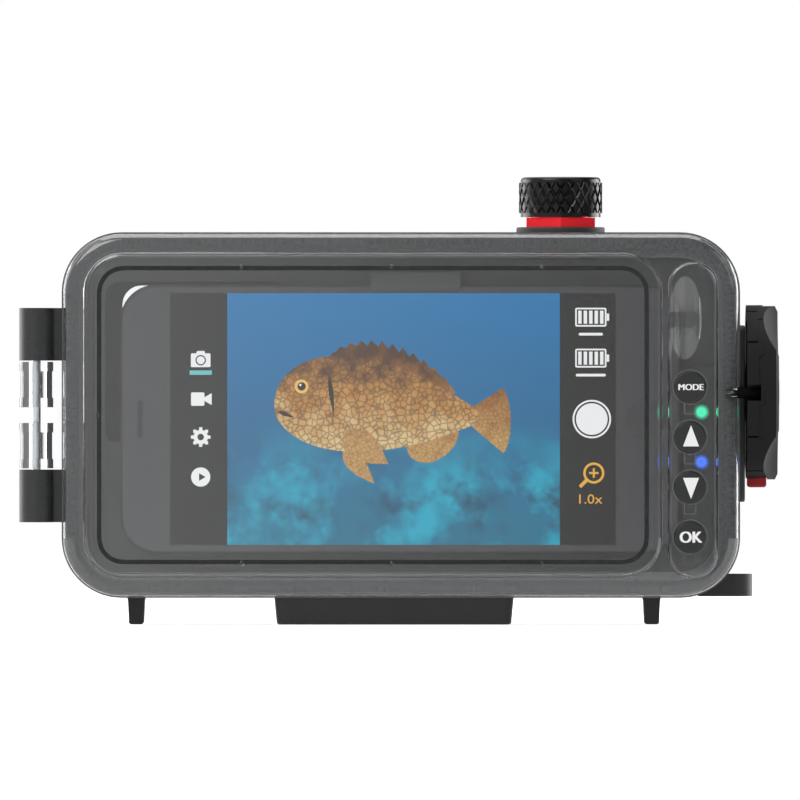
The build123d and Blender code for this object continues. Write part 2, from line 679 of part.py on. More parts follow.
def door():
    """The clear door in one moulding, with its window, ridge, button bay and hinge barrels."""
    solid = body_panel(DOOR_INSET, RIM_FACE, DOOR_BACK)
    solid = fillet(edges_at_y(solid, RIM_FACE), RIM_EDGE)
    ridge_out = MOAT_WIDTH + RIDGE_WIDTH
    solid -= (
        window_panel(ridge_out + OUTER_GROOVE_WIDTH, RIM_FACE, RIM_FACE + OUTER_GROOVE_DEPTH)
        - window_panel(ridge_out, RIM_FACE, RIM_FACE + OUTER_GROOVE_DEPTH)
    )
    ridge = window_panel(ridge_out, RIM_FACE - RIDGE_RISE, RIM_FACE + 1)
    solid += fillet(edges_at_y(ridge, RIM_FACE - RIDGE_RISE), RIDGE_EDGE)
    bay = panel(BAY_X, BODY_Z + BAY_SHIFT_Z, BAY_WIDTH, BAY_HEIGHT, BAY_CORNER, BAY_FACE, RIM_FACE + 1)
    solid += fillet(edges_at_y(bay, BAY_FACE), BAY_EDGE)
    solid -= window_panel(0, RIM_FACE - RIDGE_RISE, WINDOW_FACE)
    solid -= (
        window_panel(MOAT_WIDTH, RIM_FACE - RIDGE_RISE, WINDOW_FACE + MOAT_DEPTH)
        - window_panel(0, RIM_FACE - RIDGE_RISE, WINDOW_FACE + MOAT_DEPTH)
    )
    for pip in moat_pips():
        solid += pip
    solid += body_panel(MOUTH_WIDTH + SPIGOT_CLEARANCE, DOOR_BACK, PARTING_Y + SPIGOT_DEPTH)
    solid -= body_panel(MOUTH_WIDTH + SPIGOT_CLEARANCE + SPIGOT_WALL, PLATE_BACK, PARTING_Y + SPIGOT_DEPTH)
    solid -= (
        body_panel(SEAL_INSET, DOOR_BACK - SEAL_GROOVE_DEPTH, DOOR_BACK)
        - body_panel(SEAL_INSET + SEAL_GROOVE_WIDTH, DOOR_BACK - SEAL_GROOVE_DEPTH, DOOR_BACK)
    )
    solid += door_knuckles()
    solid -= thumb_dish()
    for z in BUTTON_ZS:
        keyway_z = z - CAP_RADIUS - KEYWAY_LENGTH / 2
        solid += panel(BUTTON_X, keyway_z, KEYWAY_WIDTH, KEYWAY_LENGTH, 0.8, BAY_FACE - KEYWAY_RISE, BAY_FACE + 0.5)
    for z in BUTTON_ZS:
        solid -= button_seat(z)
    solid -= rod_x(RIGHT - KEEPER_ROOT, RIGHT, KEEPER_Y, DIAL_Z, KEEPER_RADIUS)
    return solid


def door_seal():
    """Rubber ring in the door's back face."""
    outer = SEAL_INSET + SEAL_SIDE_CLEARANCE
    inner = SEAL_INSET + SEAL_GROOVE_WIDTH - SEAL_SIDE_CLEARANCE
    near, far = DOOR_BACK - SEAL_GROOVE_DEPTH, PARTING_Y - DOOR_GAP + SEAL_LIFT
    ring = body_panel(outer, near, far) - body_panel(inner, near, far)
    return fillet(edges_at_y(ring, far), SEAL_EDGE)


def keeper_pin():
    """Steel pin in the door's edge, which the latch's cam groove catches."""
    return rod_x(RIGHT - KEEPER_ROOT, DIAL_INNER + CAM_DEPTH - KEEPER_END_GAP, KEEPER_Y, DIAL_Z, KEEPER_RADIUS)


def button(z):
    """Cap and shaft of one push button."""
    cap = rod_y(CAP_FACE, CAP_FACE + CAP_THICKNESS, BUTTON_X, z, CAP_RADIUS)
    cap = fillet(edges_at_y(cap, CAP_FACE), CAP_EDGE)
    tip = BOARD_FRONT - SWITCH_HEIGHT - SWITCH_TIP_HEIGHT - 0.3 - BUTTON_TRAVEL
    shaft = rod_y(CAP_FACE + CAP_THICKNESS, tip, BUTTON_X, z, SHAFT_RADIUS)
    clip_y = PLATE_BACK + CLIP_GAP
    groove = rod_y(clip_y, clip_y + CLIP_THICKNESS, BUTTON_X, z, SHAFT_RADIUS)
    groove -= rod_y(clip_y, clip_y + CLIP_THICKNESS, BUTTON_X, z, SHAFT_RADIUS - 0.35)
    return cap + shaft - groove


def button_clip(z):
    """Open spring clip in the shaft's groove, which stops the button at its outer end."""
    clip_y = PLATE_BACK + CLIP_GAP
    ring = rod_y(clip_y, clip_y + CLIP_THICKNESS, BUTTON_X, z, CLIP_RADIUS)
    ring -= rod_y(clip_y, clip_y + CLIP_THICKNESS, BUTTON_X, z, SHAFT_RADIUS - 0.35)
    return ring - box(
        BUTTON_X - 0.7, BUTTON_X + 0.7, clip_y, clip_y + CLIP_THICKNESS, z, z + CLIP_RADIUS,
    )


def button_spring(z):
    """Return spring round one button's shaft."""
    cap_back = CAP_FACE + CAP_THICKNESS
    room = POCKET_FLOOR - GLAND_HEIGHT - cap_back
    plane = Plane(origin=(BUTTON_X, cap_back, z), x_dir=(1, 0, 0), z_dir=(0, 1, 0))
    return coil(plane, (SHAFT_RADIUS + SPRING_POCKET_RADIUS) / 2, room, SPRING_TURNS, SPRING_WIRE)


def ring_seal(near, far, x, z, inner, outer):
    """Round rubber seal on a shaft that runs along Y."""
    ring = rod_y(near, far, x, z, outer) - rod_y(near, far, x, z, inner)
    return fillet([*edges_at_y(ring, near), *edges_at_y(ring, far)], (far - near) * 0.35)


def button_seals():
    """The four shaft seals at the bottom of the spring pockets."""
    return [
        ring_seal(POCKET_FLOOR - GLAND_HEIGHT, POCKET_FLOOR, BUTTON_X, z, SHAFT_RADIUS + 0.03, SPRING_POCKET_RADIUS)
        for z in BUTTON_ZS
    ]


def hinge_pin():
    """Steel pin through all four hinge barrels."""
    reach = KNUCKLE_MIDDLE_GAP / 2 + DOOR_KNUCKLE_LENGTH + KNUCKLE_END_GAP + SHELL_KNUCKLE_LENGTH
    return rod_z(BODY_Z - reach, BODY_Z + reach, HINGE_X, PARTING_Y, PIN_RADIUS)


# Cam latch

def latch_plate():
    """Plate let into the shell's right wall, with a boss for the dial."""
    solid = latch_panel(0, PLATE_SEAT, PLATE_OUTER)
    solid = fillet(edges_at_x(solid, PLATE_OUTER), 0.5)
    solid += rod_x(PLATE_SEAT + 1, DIAL_INNER - DIAL_BOSS_GAP, DIAL_Y, DIAL_Z, DIAL_BOSS_RADIUS)
    solid -= rod_x(PLATE_SEAT, DIAL_INNER, DIAL_Y, DIAL_Z, SPINDLE_NECK_RADIUS)
    for y, z in latch_screws():
        solid -= rod_x(PLATE_SEAT, PLATE_OUTER, y, z, SCREW_RADIUS)
        solid -= rod_x(PLATE_OUTER - SCREW_HEAD_HEIGHT, PLATE_OUTER, y, z, SCREW_HEAD_RADIUS)
    return solid


def latch_plate_screws():
    """Two screws that hold the latch plate, with sunk heads."""
    made = []
    for y, z in latch_screws():
        plane = Plane(origin=(PLATE_OUTER - SCREW_HEAD_HEIGHT, y, z), z_dir=(1, 0, 0))
        made.append(screw(plane, LATCH_PLATE_THICKNESS - SCREW_HEAD_HEIGHT + SCREW_DEPTH - 1.2))
    return made


def dial_spindle():
    """Shouldered bolt that the dial turns on."""
    head_floor = DIAL_OUTER + SPINDLE_HEAD_RISE - SPINDLE_HEAD_HEIGHT
    neck_end = DIAL_INNER - DIAL_BOSS_GAP
    solid = rod_x(PLATE_SEAT + 0.1, neck_end, DIAL_Y, DIAL_Z, SPINDLE_NECK_RADIUS)
    solid += rod_x(neck_end, head_floor, DIAL_Y, DIAL_Z, SPINDLE_RADIUS)
    head = rod_x(head_floor, head_floor + SPINDLE_HEAD_HEIGHT, DIAL_Y, DIAL_Z, SPINDLE_HEAD_RADIUS)
    head = fillet(edges_at_x(head, head_floor + SPINDLE_HEAD_HEIGHT), 0.35)
    return solid + head


def dial_point(radius, degrees):
    """Point (y, z) on the dial at this radius and angle, from +Y towards +Z."""
    turn = math.radians(degrees)
    return DIAL_Y + radius * math.cos(turn), DIAL_Z + radius * math.sin(turn)


def cam_groove():
    """Curved groove for the keeper pin, with a mouth that faces the door at rest."""
    half = KEEPER_RADIUS + CAM_CLEARANCE
    start, end = 180.0 - CAM_TURN_DEG - CAM_END_DEG, 180.0 + CAM_END_DEG
    plane = Plane.YZ.offset(DIAL_INNER)
    disc = Pos(DIAL_Y, DIAL_Z) * (Circle(CAM_RADIUS + half) - Circle(CAM_RADIUS - half))
    middle = (start + end) / 2
    wedge = Polygon(
        (DIAL_Y, DIAL_Z), dial_point(3 * CAM_RADIUS, start), dial_point(3 * CAM_RADIUS, middle),
        dial_point(3 * CAM_RADIUS, end), align=None,
    )
    groove = extrude(plane * (disc & wedge), amount=CAM_DEPTH)
    mouth = box(
        DIAL_INNER, DIAL_INNER + CAM_DEPTH, DIAL_Y - DIAL_RADIUS - 1, DIAL_Y - CAM_RADIUS + half,
        DIAL_Z - half - 0.4, DIAL_Z + half + 0.4,
    )
    return groove + mouth


def dial_notches():
    """Small notches round the dial's inner edge."""
    made = []
    for n in range(NOTCH_COUNT):
        turn = NOTCH_PHASE_DEG + n * 360 / NOTCH_COUNT
        notch = box(
            DIAL_INNER, DIAL_INNER + NOTCH_LENGTH, DIAL_RADIUS - NOTCH_DEPTH, DIAL_RADIUS + 1,
            -NOTCH_WIDTH / 2, NOTCH_WIDTH / 2,
        )
        made.append(Pos(0, DIAL_Y, DIAL_Z) * Rot(turn, 0, 0) * notch)
    return made


def dial_step():
    """The low outer part of the dial's edge, round the tabs that stand out from its inner band."""
    x0 = DIAL_INNER + BAND_WIDTH
    cut = rod_x(x0, DIAL_OUTER, DIAL_Y, DIAL_Z, DIAL_RADIUS + 1)
    cut -= rod_x(x0, DIAL_OUTER, DIAL_Y, DIAL_Z, DIAL_RADIUS - BAND_STEP)
    tab = box(
        x0 - TAB_EDGE, x0 + TAB_LENGTH, DIAL_RADIUS - 1, DIAL_RADIUS + 2,
        NOTCH_WIDTH / 2, NOTCH_WIDTH / 2 + TAB_HEIGHT,
    )
    tab = fillet(tab.edges().filter_by(Axis.Y).group_by(Axis.X)[-1], TAB_EDGE)
    for n in range(NOTCH_COUNT):
        turn = NOTCH_PHASE_DEG + n * 360 / NOTCH_COUNT
        cut -= Pos(0, DIAL_Y, DIAL_Z) * Rot(turn, 0, 0) * tab
    return cut


def lock_pocket():
    """Room in the dial for the lock button, its shoulders and its spring."""
    half = LOCK_WIDTH / 2 + LOCK_CLEARANCE
    rim = DIAL_Z - DIAL_RADIUS
    top = rim - LOCK_RISE + LOCK_LENGTH + LOCK_TRAVEL + LOCK_CLEARANCE
    shoulder = rim - LOCK_RISE + LOCK_LENGTH - LOCK_SHOULDER_LENGTH - LOCK_CLEARANCE
    outer = DIAL_INNER + LOCK_THICKNESS + 2 * LOCK_CLEARANCE
    solid = box(DIAL_INNER, outer, DIAL_Y - half, DIAL_Y + half, rim - 1, top)
    wide = half + LOCK_SHOULDER
    solid += box(DIAL_INNER, outer, DIAL_Y - wide, DIAL_Y + wide, shoulder, top)
    x = DIAL_INNER + LOCK_CLEARANCE + LOCK_THICKNESS / 2
    return solid + rod_z(top, top + LOCK_SPRING_ROOM - LOCK_TRAVEL, x, DIAL_Y, LOCK_SPRING_RADIUS + 0.6)


def latch_dial():
    """Round dial with four finger scoops, edge notches and the cam groove on its inner face."""
    solid = rod_x(DIAL_INNER, DIAL_OUTER, DIAL_Y, DIAL_Z, DIAL_RADIUS)
    solid = chamfer(edges_at_x(solid, DIAL_OUTER), DIAL_EDGE, 2 * DIAL_EDGE)
    for degrees in SCALLOP_ANGLES_DEG:
        y, z = dial_point(SCALLOP_REACH, degrees)
        solid -= Pos(DIAL_OUTER + SCALLOP_RADIUS - SCALLOP_DEPTH, y, z) * Sphere(SCALLOP_RADIUS)
    solid -= dial_step()
    for notch in dial_notches():
        solid -= notch
    solid -= cam_groove()
    solid -= lock_pocket()
    solid -= rod_x(DIAL_INNER, DIAL_OUTER, DIAL_Y, DIAL_Z, SPINDLE_RADIUS + SPINDLE_RUNNING)
    head_floor = DIAL_OUTER + SPINDLE_HEAD_RISE - SPINDLE_HEAD_HEIGHT
    solid -= rod_x(head_floor - 0.15, DIAL_OUTER, DIAL_Y, DIAL_Z, SPINDLE_HEAD_RADIUS + SPINDLE_HEAD_CLEARANCE)
    return solid


def lock_button():
    """Red button in the dial's lower edge, with shoulders that keep it in."""
    rim = DIAL_Z - DIAL_RADIUS
    x0 = DIAL_INNER + LOCK_CLEARANCE
    foot_z = rim - LOCK_RISE
    top = foot_z + LOCK_LENGTH
    solid = box(x0, x0 + LOCK_THICKNESS, DIAL_Y - LOCK_WIDTH / 2, DIAL_Y + LOCK_WIDTH / 2, foot_z, top)
    solid = fillet(edges_at_z(solid, foot_z), 0.8)
    wide = LOCK_WIDTH / 2 + LOCK_SHOULDER
    return solid + box(x0, x0 + LOCK_THICKNESS, DIAL_Y - wide, DIAL_Y + wide, top - LOCK_SHOULDER_LENGTH, top)


def lock_spring():
    """Spring that pushes the lock button out."""
    top = DIAL_Z - DIAL_RADIUS - LOCK_RISE + LOCK_LENGTH
    x = DIAL_INNER + LOCK_CLEARANCE + LOCK_THICKNESS / 2
    plane = Plane(origin=(x, DIAL_Y, top), x_dir=(1, 0, 0), z_dir=(0, 0, 1))
    return coil(plane, LOCK_SPRING_RADIUS, LOCK_SPRING_ROOM, 3.0, SPRING_WIRE)


# Vacuum valve

def hexagon(flats, z0, z1):
    """Six-sided prism on the valve's axis, with one corner towards the user."""
    plane = Plane(origin=(VALVE_X, VALVE_Y, z0), z_dir=(0, 0, 1))
    return extrude(plane * Rot(0, 0, 30) * RegularPolygon(flats / math.sqrt(3), 6), amount=z1 - z0)


def valve_washer():
    """Black washer between the valve and the top wall."""
    solid = rod_z(TOP, WASHER_TOP, VALVE_X, VALVE_Y, WASHER_RADIUS)
    solid = fillet(edges_at_z(solid, WASHER_TOP), 0.5)
    return solid - rod_z(TOP, WASHER_TOP, VALVE_X, VALVE_Y, VALVE_SHANK_RADIUS)


def valve_body():
    """Red valve: hexagon, nipple for the cap, shank through the wall and a port down its middle."""
    solid = hexagon(HEX_FLATS, WASHER_TOP, HEX_TOP)
    nipple = rod_z(HEX_TOP, NIPPLE_TOP, VALVE_X, VALVE_Y, NIPPLE_RADIUS)
    solid += chamfer(edges_at_z(nipple, NIPPLE_TOP), 0.5)
    shank_end = TOP - WALL - VALVE_NUT_HEIGHT - 1
    solid += rod_z(shank_end, WASHER_TOP, VALVE_X, VALVE_Y, VALVE_SHANK_RADIUS)
    return solid - rod_z(shank_end, NIPPLE_TOP, VALVE_X, VALVE_Y, VALVE_PORT_RADIUS)


def valve_nut():
    """Nut that clamps the valve from inside."""
    z1 = TOP - WALL
    return hexagon(VALVE_NUT_FLATS, z1 - VALVE_NUT_HEIGHT, z1) - rod_z(
        z1 - VALVE_NUT_HEIGHT, z1, VALVE_X, VALVE_Y, VALVE_SHANK_RADIUS
    )


def knurl_cuts():
    """Slanted grooves, both ways round, that cut the diamonds of the cap's grip."""
    z0, z1 = KNOB_FOOT + KNOB_FOOT_BAND, KNOB_TOP - KNOB_TOP_BAND
    middle, length = (z0 + z1) / 2, (z1 - z0) * 1.35
    groove = Rot(45, 0, 0) * Box(length, KNURL_DEPTH * 1.8, KNURL_DEPTH * 1.8)
    upright = Rot(0, 90, 0) * groove
    made = []
    for slant in (-KNURL_SLANT_DEG, KNURL_SLANT_DEG):
        for n in range(KNURL_COUNT):
            turn = Rot(0, 0, n * 360 / KNURL_COUNT)
            made.append(Pos(VALVE_X, VALVE_Y, middle) * turn * Pos(KNOB_RADIUS, 0, 0) * Rot(slant, 0, 0) * upright)
    return made


def valve_cap():
    """Cap with a diamond-knurled band between two plain ones."""
    z0, z1 = KNOB_FOOT + KNOB_FOOT_BAND, KNOB_TOP - KNOB_TOP_BAND
    band = rod_z(z0, z1, VALVE_X, VALVE_Y, KNOB_RADIUS)
    for cut in knurl_cuts():
        band -= cut
    core = rod_z(KNOB_FOOT, KNOB_TOP, VALVE_X, VALVE_Y, KNOB_RADIUS - KNOB_BAND_INSET)
    core = fillet(edges_at_z(core, KNOB_TOP), KNOB_EDGE)
    solid = band + core
    return solid - rod_z(
        KNOB_FOOT, KNOB_TOP - KNOB_ROOF, VALVE_X, VALVE_Y, NIPPLE_RADIUS + KNOB_THREAD_CLEARANCE
    )


def cap_seal():
    """Rubber disc under the cap's roof."""
    roof = KNOB_TOP - KNOB_ROOF
    return rod_z(
        NIPPLE_TOP + KNOB_SEAL_GAP, roof - KNOB_SEAL_GAP, VALVE_X, VALVE_Y, NIPPLE_RADIUS - 0.2
    )


# Lens window

def lens_window():
    """Flat glass in the front wall."""
    grow = LENS_LEDGE - LENS_GLASS_CLEARANCE
    solid = panel(LENS_X, LENS_Z, LENS_WIDTH + 2 * grow, LENS_HEIGHT + 2 * grow, LENS_CORNER, GLASS_BACK, LENS_BOSS_FRONT)
    return solid


def lens_gasket():
    """Rubber frame behind the glass."""
    grow = LENS_LEDGE - LENS_GLASS_CLEARANCE
    near = GLASS_BACK - LENS_GASKET
    solid = panel(LENS_X, LENS_Z, LENS_WIDTH + 2 * grow, LENS_HEIGHT + 2 * grow, LENS_CORNER, near, GLASS_BACK)
    return solid - panel(LENS_X, LENS_Z, LENS_WIDTH, LENS_HEIGHT, LENS_CORNER - 1, near, GLASS_BACK)


def lens_frame():
    """Frame that clamps the glass, held by four screws."""
    front = LENS_BOSS_FRONT + LENS_FRAME_THICKNESS
    solid = panel(
        LENS_X, LENS_Z, LENS_WIDTH + 2 * LENS_BOSS_BORDER, LENS_HEIGHT + 2 * LENS_BOSS_BORDER,
        LENS_BOSS_CORNER, LENS_BOSS_FRONT, front,
    )
    solid = fillet(edges_at_y(solid, front), 1.0)
    solid -= panel(LENS_X, LENS_Z, LENS_WIDTH, LENS_HEIGHT, LENS_CORNER, LENS_BOSS_FRONT, front)
    for x, z in lens_screws():
        solid -= rod_y(LENS_BOSS_FRONT, front, x, z, SCREW_RADIUS)
        solid -= rod_y(front - SCREW_HEAD_HEIGHT, front, x, z, SCREW_HEAD_RADIUS)
    return solid


def lens_frame_screws():
    """Four sunk screws of the lens frame."""
    head_floor = LENS_BOSS_FRONT + LENS_FRAME_THICKNESS - SCREW_HEAD_HEIGHT
    return [
        screw(Plane(origin=(x, head_floor, z), z_dir=(0, 1, 0)), head_floor - LENS_BOSS_FRONT + SCREW_DEPTH / 2 - 0.2)
        for x, z in lens_screws()
    ]


# Phone and its tray

def phone_tray():
    """Plate that carries the phone, pads and control board, open where the lens window is."""
    left, right = LEFT + WALL + TRAY_CLEARANCE, RIGHT - WALL - TRAY_CLEARANCE
    low, high = SHOE_HEIGHT + WALL + TRAY_CLEARANCE, TOP - WALL - TRAY_CLEARANCE
    solid = panel(
        (left + right) / 2, (low + high) / 2, right - left, high - low, TRAY_CORNER, TRAY_FACE, TRAY_BACK
    )
    solid -= panel(LENS_X, LENS_Z, LENS_WIDTH, LENS_HEIGHT, LENS_CORNER, TRAY_FACE, TRAY_BACK)
    for side in (-1, 1):
        solid += rod_y(BOARD_BACK, TRAY_FACE, BOARD_X + 1.5, BOARD_Z + side * (BOARD_HEIGHT / 2 - 3), 1.8)
    for x, z in tray_posts():
        solid -= rod_y(TRAY_FACE, TRAY_BACK, x, z, SCREW_RADIUS)
    nut_end = TOP - WALL - VALVE_NUT_HEIGHT - 1
    return solid - box(
        VALVE_X - VALVE_NUT_ROOM, VALVE_X + VALVE_NUT_ROOM, TRAY_FACE, TRAY_BACK, nut_end - 0.5, TOP
    )


def tray_screws():
    """Four screws that hold the tray on its posts."""
    return [
        screw(Plane(origin=(x, TRAY_FACE, z), z_dir=(0, -1, 0)), TRAY_THICKNESS + SCREW_DEPTH - 0.3)
        for x, z in tray_posts()
    ]


def tray_pads():
    """Rubber pads between the tray and the phone's back."""
    zs = (PHONE_BOTTOM + PAD_FROM_EDGE, PHONE_TOP - PAD_FROM_EDGE)
    xs = (PHONE_X - PAD_FROM_MIDDLE, PHONE_RIGHT - PAD_FROM_RIGHT)
    made = [panel(x, z, PAD_LENGTH, PAD_WIDTH, 2, PHONE_BACK, TRAY_FACE) for x in xs for z in zs]
    made.append(panel(PHONE_LEFT + PAD_FROM_LEFT, zs[0], PAD_LENGTH, PAD_WIDTH, 2, PHONE_BACK, TRAY_FACE))
    return made


def phone_bumpers():
    """Rubber blocks that the phone's lower and left edges rest against."""
    near = TRAY_FACE - BUMPER_HEIGHT
    low = PHONE_BOTTOM - BUMPER_WIDTH / 2
    made = [
        panel(x, low, BUMPER_LENGTH, BUMPER_WIDTH, 1, near, TRAY_FACE)
        for x in (PHONE_LEFT + BUMPER_FROM_END, PHONE_RIGHT - BUMPER_FROM_END)
    ]
    made.append(panel(PHONE_LEFT - BUMPER_WIDTH / 2, PHONE_Z - BUMPER_DROP, BUMPER_WIDTH, BUMPER_LENGTH, 1, near, TRAY_FACE))
    return made


def phone_clamp():
    """Clip at the phone's top edge, with a lip over its glass."""
    x0, x1 = CLAMP_X - CLAMP_LENGTH / 2, CLAMP_X + CLAMP_LENGTH / 2
    lip_far = PHONE_FRONT - 0.1
    near = lip_far - CLAMP_LIP_THICKNESS
    block = box(x0, x1, near, TRAY_FACE, PHONE_TOP, PHONE_TOP + CLAMP_WIDTH)
    return block + box(x0, x1, near, lip_far, PHONE_TOP - CLAMP_LIP, PHONE_TOP + CLAMP_WIDTH)


def home_x():
    """X of the phone's round home button."""
    return PHONE_RIGHT - HOME_FROM_END


def phone_case():
    """The phone's metal back and frame."""
    front = PHONE_FRONT + PHONE_GLASS
    solid = panel(PHONE_X, PHONE_Z, PHONE_LENGTH, PHONE_HEIGHT, PHONE_CORNER, front, PHONE_BACK)
    return fillet(edges_at_y(solid, PHONE_BACK), PHONE_EDGE)


def phone_glass():
    """Front glass with openings for the home button and the earpiece."""
    front = PHONE_FRONT + PHONE_GLASS
    grow = -2 * PHONE_GLASS_INSET
    solid = panel(
        PHONE_X, PHONE_Z, PHONE_LENGTH + grow, PHONE_HEIGHT + grow, PHONE_CORNER - PHONE_GLASS_INSET, PHONE_FRONT, front
    )
    solid -= rod_y(PHONE_FRONT, front, home_x(), PHONE_Z, HOME_RADIUS)
    slot_x = PHONE_LEFT + EARPIECE_FROM_END
    return solid - panel(slot_x, PHONE_Z, EARPIECE_WIDTH, EARPIECE_LENGTH, 0.6, PHONE_FRONT, front)


def phone_home_button():
    """Round home button in the phone's glass."""
    return rod_y(PHONE_FRONT + HOME_SINK, PHONE_FRONT + PHONE_GLASS, home_x(), PHONE_Z, HOME_RADIUS - 0.1)


def phone_camera():
    """Camera on the phone's back, behind the lens window."""
    x, z = PHONE_LEFT + PHONE_CAMERA_INSET, PHONE_TOP - PHONE_CAMERA_INSET
    solid = rod_y(PHONE_BACK, PHONE_BACK + PHONE_CAMERA_RISE, x, z, PHONE_CAMERA_RADIUS)
    return fillet(edges_at_y(solid, PHONE_BACK + PHONE_CAMERA_RISE), 0.3)


# Control board and battery

def control_board():
    """Circuit board beside the phone."""
    return panel(BOARD_X, BOARD_Z, BOARD_WIDTH, BOARD_HEIGHT, 1.5, BOARD_FRONT, BOARD_BACK)


def board_switches():
    """Four small switches, one behind each button."""
    made = []
    for z in BUTTON_ZS:
        near = BOARD_FRONT - SWITCH_HEIGHT
        x = max(BUTTON_X, BOARD_LEFT + SWITCH_SIZE / 2)
        base = panel(x, z, SWITCH_SIZE, SWITCH_SIZE, 0.4, near, BOARD_FRONT)
        made.append(base + rod_y(near - SWITCH_TIP_HEIGHT, near, BUTTON_X, z, SWITCH_TIP_RADIUS))
    return made


def led(z):
    """Domed lamp on the board."""
    near = BOARD_FRONT - LED_HEIGHT
    solid = rod_y(near, BOARD_FRONT, LED_X, z, LED_RADIUS)
    return fillet(edges_at_y(solid, near), LED_RADIUS * 0.8)


def cell_places():
    """Axes (x, y) of the two battery cells, in the grip."""
    y = GRIP_FRONT - WALL - HOLDER_WALL - CELL_RADIUS - CELL_CLEARANCE
    return [(GRIP_X + side * CELL_PITCH / 2, y) for side in (-1, 1)]


def battery_cells():
    """Two small cylindrical cells with their raised poles."""
    half = CELL_LENGTH / 2
    made = []
    for x, y in cell_places():
        cell = rod_z(BODY_Z - half, BODY_Z + half - 1, x, y, CELL_RADIUS)
        made.append(cell + rod_z(BODY_Z + half - 1, BODY_Z + half, x, y, 1.9))
    return made


def battery_holder():
    """Open box that holds the cells in the grip."""
    far = GRIP_FRONT - WALL
    near = far - HOLDER_DEPTH
    half_x = CELL_PITCH / 2 + CELL_RADIUS + CELL_CLEARANCE
    half_z = CELL_LENGTH / 2 + CELL_CLEARANCE
    solid = box(
        GRIP_X - half_x - HOLDER_WALL, GRIP_X + half_x + HOLDER_WALL, near, far,
        BODY_Z - half_z - HOLDER_WALL, BODY_Z + half_z + HOLDER_WALL,
    )
    return solid - box(GRIP_X - half_x, GRIP_X + half_x, near, far - HOLDER_WALL, BODY_Z - half_z, BODY_Z + half_z)


# Shutter lever

def shutter_lever():
    """Lever with a broad finger pad, turning on an upright pin."""
    half = LEVER_HEIGHT / 2
    near = LEVER_Y - LEVER_THICKNESS / 2
    far = LEVER_Y + LEVER_THICKNESS / 2
    tip = LEVER_X + LEVER_LENGTH
    solid = box(LEVER_X, tip - LEVER_PAD_LENGTH / 2, near, far, LEVER_Z - half, LEVER_Z + half)
    pad = panel(tip - LEVER_PAD_LENGTH / 2, LEVER_Z, LEVER_PAD_LENGTH, LEVER_PAD_HEIGHT, 4, near, far + 1.2)
    solid += fillet(edges_at_y(pad, far + 1.2), 1.0)
    solid += rod_z(LEVER_Z - half, LEVER_Z + half, LEVER_X, LEVER_Y, LEVER_BARREL)
    return solid - rod_z(LEVER_Z - half, LEVER_Z + half, LEVER_X, LEVER_Y, LEVER_PIN_RADIUS + PIN_RUNNING)


def lever_pin():
    """Steel pin of the shutter lever."""
    half = LEVER_HEIGHT / 2 + LEVER_END_GAP + LEVER_EAR
    return rod_z(LEVER_Z - half, LEVER_Z + half, LEVER_X, LEVER_Y, LEVER_PIN_RADIUS)


def shutter_plunger():
    """Rod that carries the lever's push through the wall."""
    x = LEVER_X + PLUNGER_REACH
    top = LEVER_Y - LEVER_THICKNESS / 2 - PLUNGER_GAP
    head = rod_y(top - PLUNGER_HEAD_HEIGHT, top, x, LEVER_Z, PLUNGER_HEAD_RADIUS)
    return head + rod_y(top - PLUNGER_LENGTH, top, x, LEVER_Z, PLUNGER_RADIUS)


def plunger_spring():
    """Return spring under the plunger's head."""
    x = LEVER_X + PLUNGER_REACH
    length = LEVER_Y - LEVER_THICKNESS / 2 - PLUNGER_GAP - PLUNGER_HEAD_HEIGHT - SHELL_FRONT
    plane = Plane(origin=(x, SHELL_FRONT, LEVER_Z), x_dir=(1, 0, 0), z_dir=(0, 1, 0))
    return coil(plane, PLUNGER_SPRING_RADIUS, length, 1.8, SPRING_WIRE)


def shutter_switch():
    """Switch on the tray's back that the plunger presses."""
    end = LEVER_Y - LEVER_THICKNESS / 2 - PLUNGER_GAP - PLUNGER_LENGTH - PLUNGER_TRAVEL - 0.3
    x = LEVER_X + PLUNGER_REACH
    return panel(x, LEVER_Z, 8.0, 6.0, 0.5, TRAY_BACK, end)


# Tripod shoe

def tripod_shoe():
    """Tapered block under the housing, with the threaded insert's seat and two screws."""
    plane = Plane(origin=(0, 0, SHOE_HEIGHT), z_dir=(0, 0, -1))
    top = RectangleRounded(SHOE_WIDTH, SHOE_DEPTH, SHOE_CORNER)
    foot_face = RectangleRounded(SHOE_WIDTH - 2 * SHOE_TAPER, SHOE_DEPTH - 2 * SHOE_TAPER, SHOE_CORNER - SHOE_TAPER)
    solid = loft([plane * top, Plane(origin=(0, 0, 0), z_dir=(0, 0, -1)) * foot_face])
    solid = chamfer(edges_at_z(solid, 0), 0.5)
    solid -= rod_z(0, INSERT_LENGTH, 0, 0, INSERT_RADIUS)
    for side in (-1, 1):
        x = side * SHOE_SCREW_X
        solid -= rod_z(0, SHOE_HEIGHT, x, 0, SCREW_RADIUS)
        solid -= rod_z(0, SHOE_SCREW_HEAD + SCREW_HEAD_HEIGHT, x, 0, SCREW_HEAD_RADIUS)
    return solid


def tripod_insert():
    """Brass insert with the tripod thread's bore."""
    return rod_z(0, INSERT_LENGTH, 0, 0, INSERT_RADIUS) - rod_z(0, INSERT_LENGTH, 0, 0, SOCKET_RADIUS)


def shoe_screws():
    """Two screws that hold the shoe, deep in their holes."""
    head_floor = SHOE_SCREW_HEAD + SCREW_HEAD_HEIGHT
    return [
        screw(Plane(origin=(side * SHOE_SCREW_X, 0, head_floor), z_dir=(0, 0, -1)), SHOE_HEIGHT - head_floor + WALL - 1)
        for side in (-1, 1)
    ]


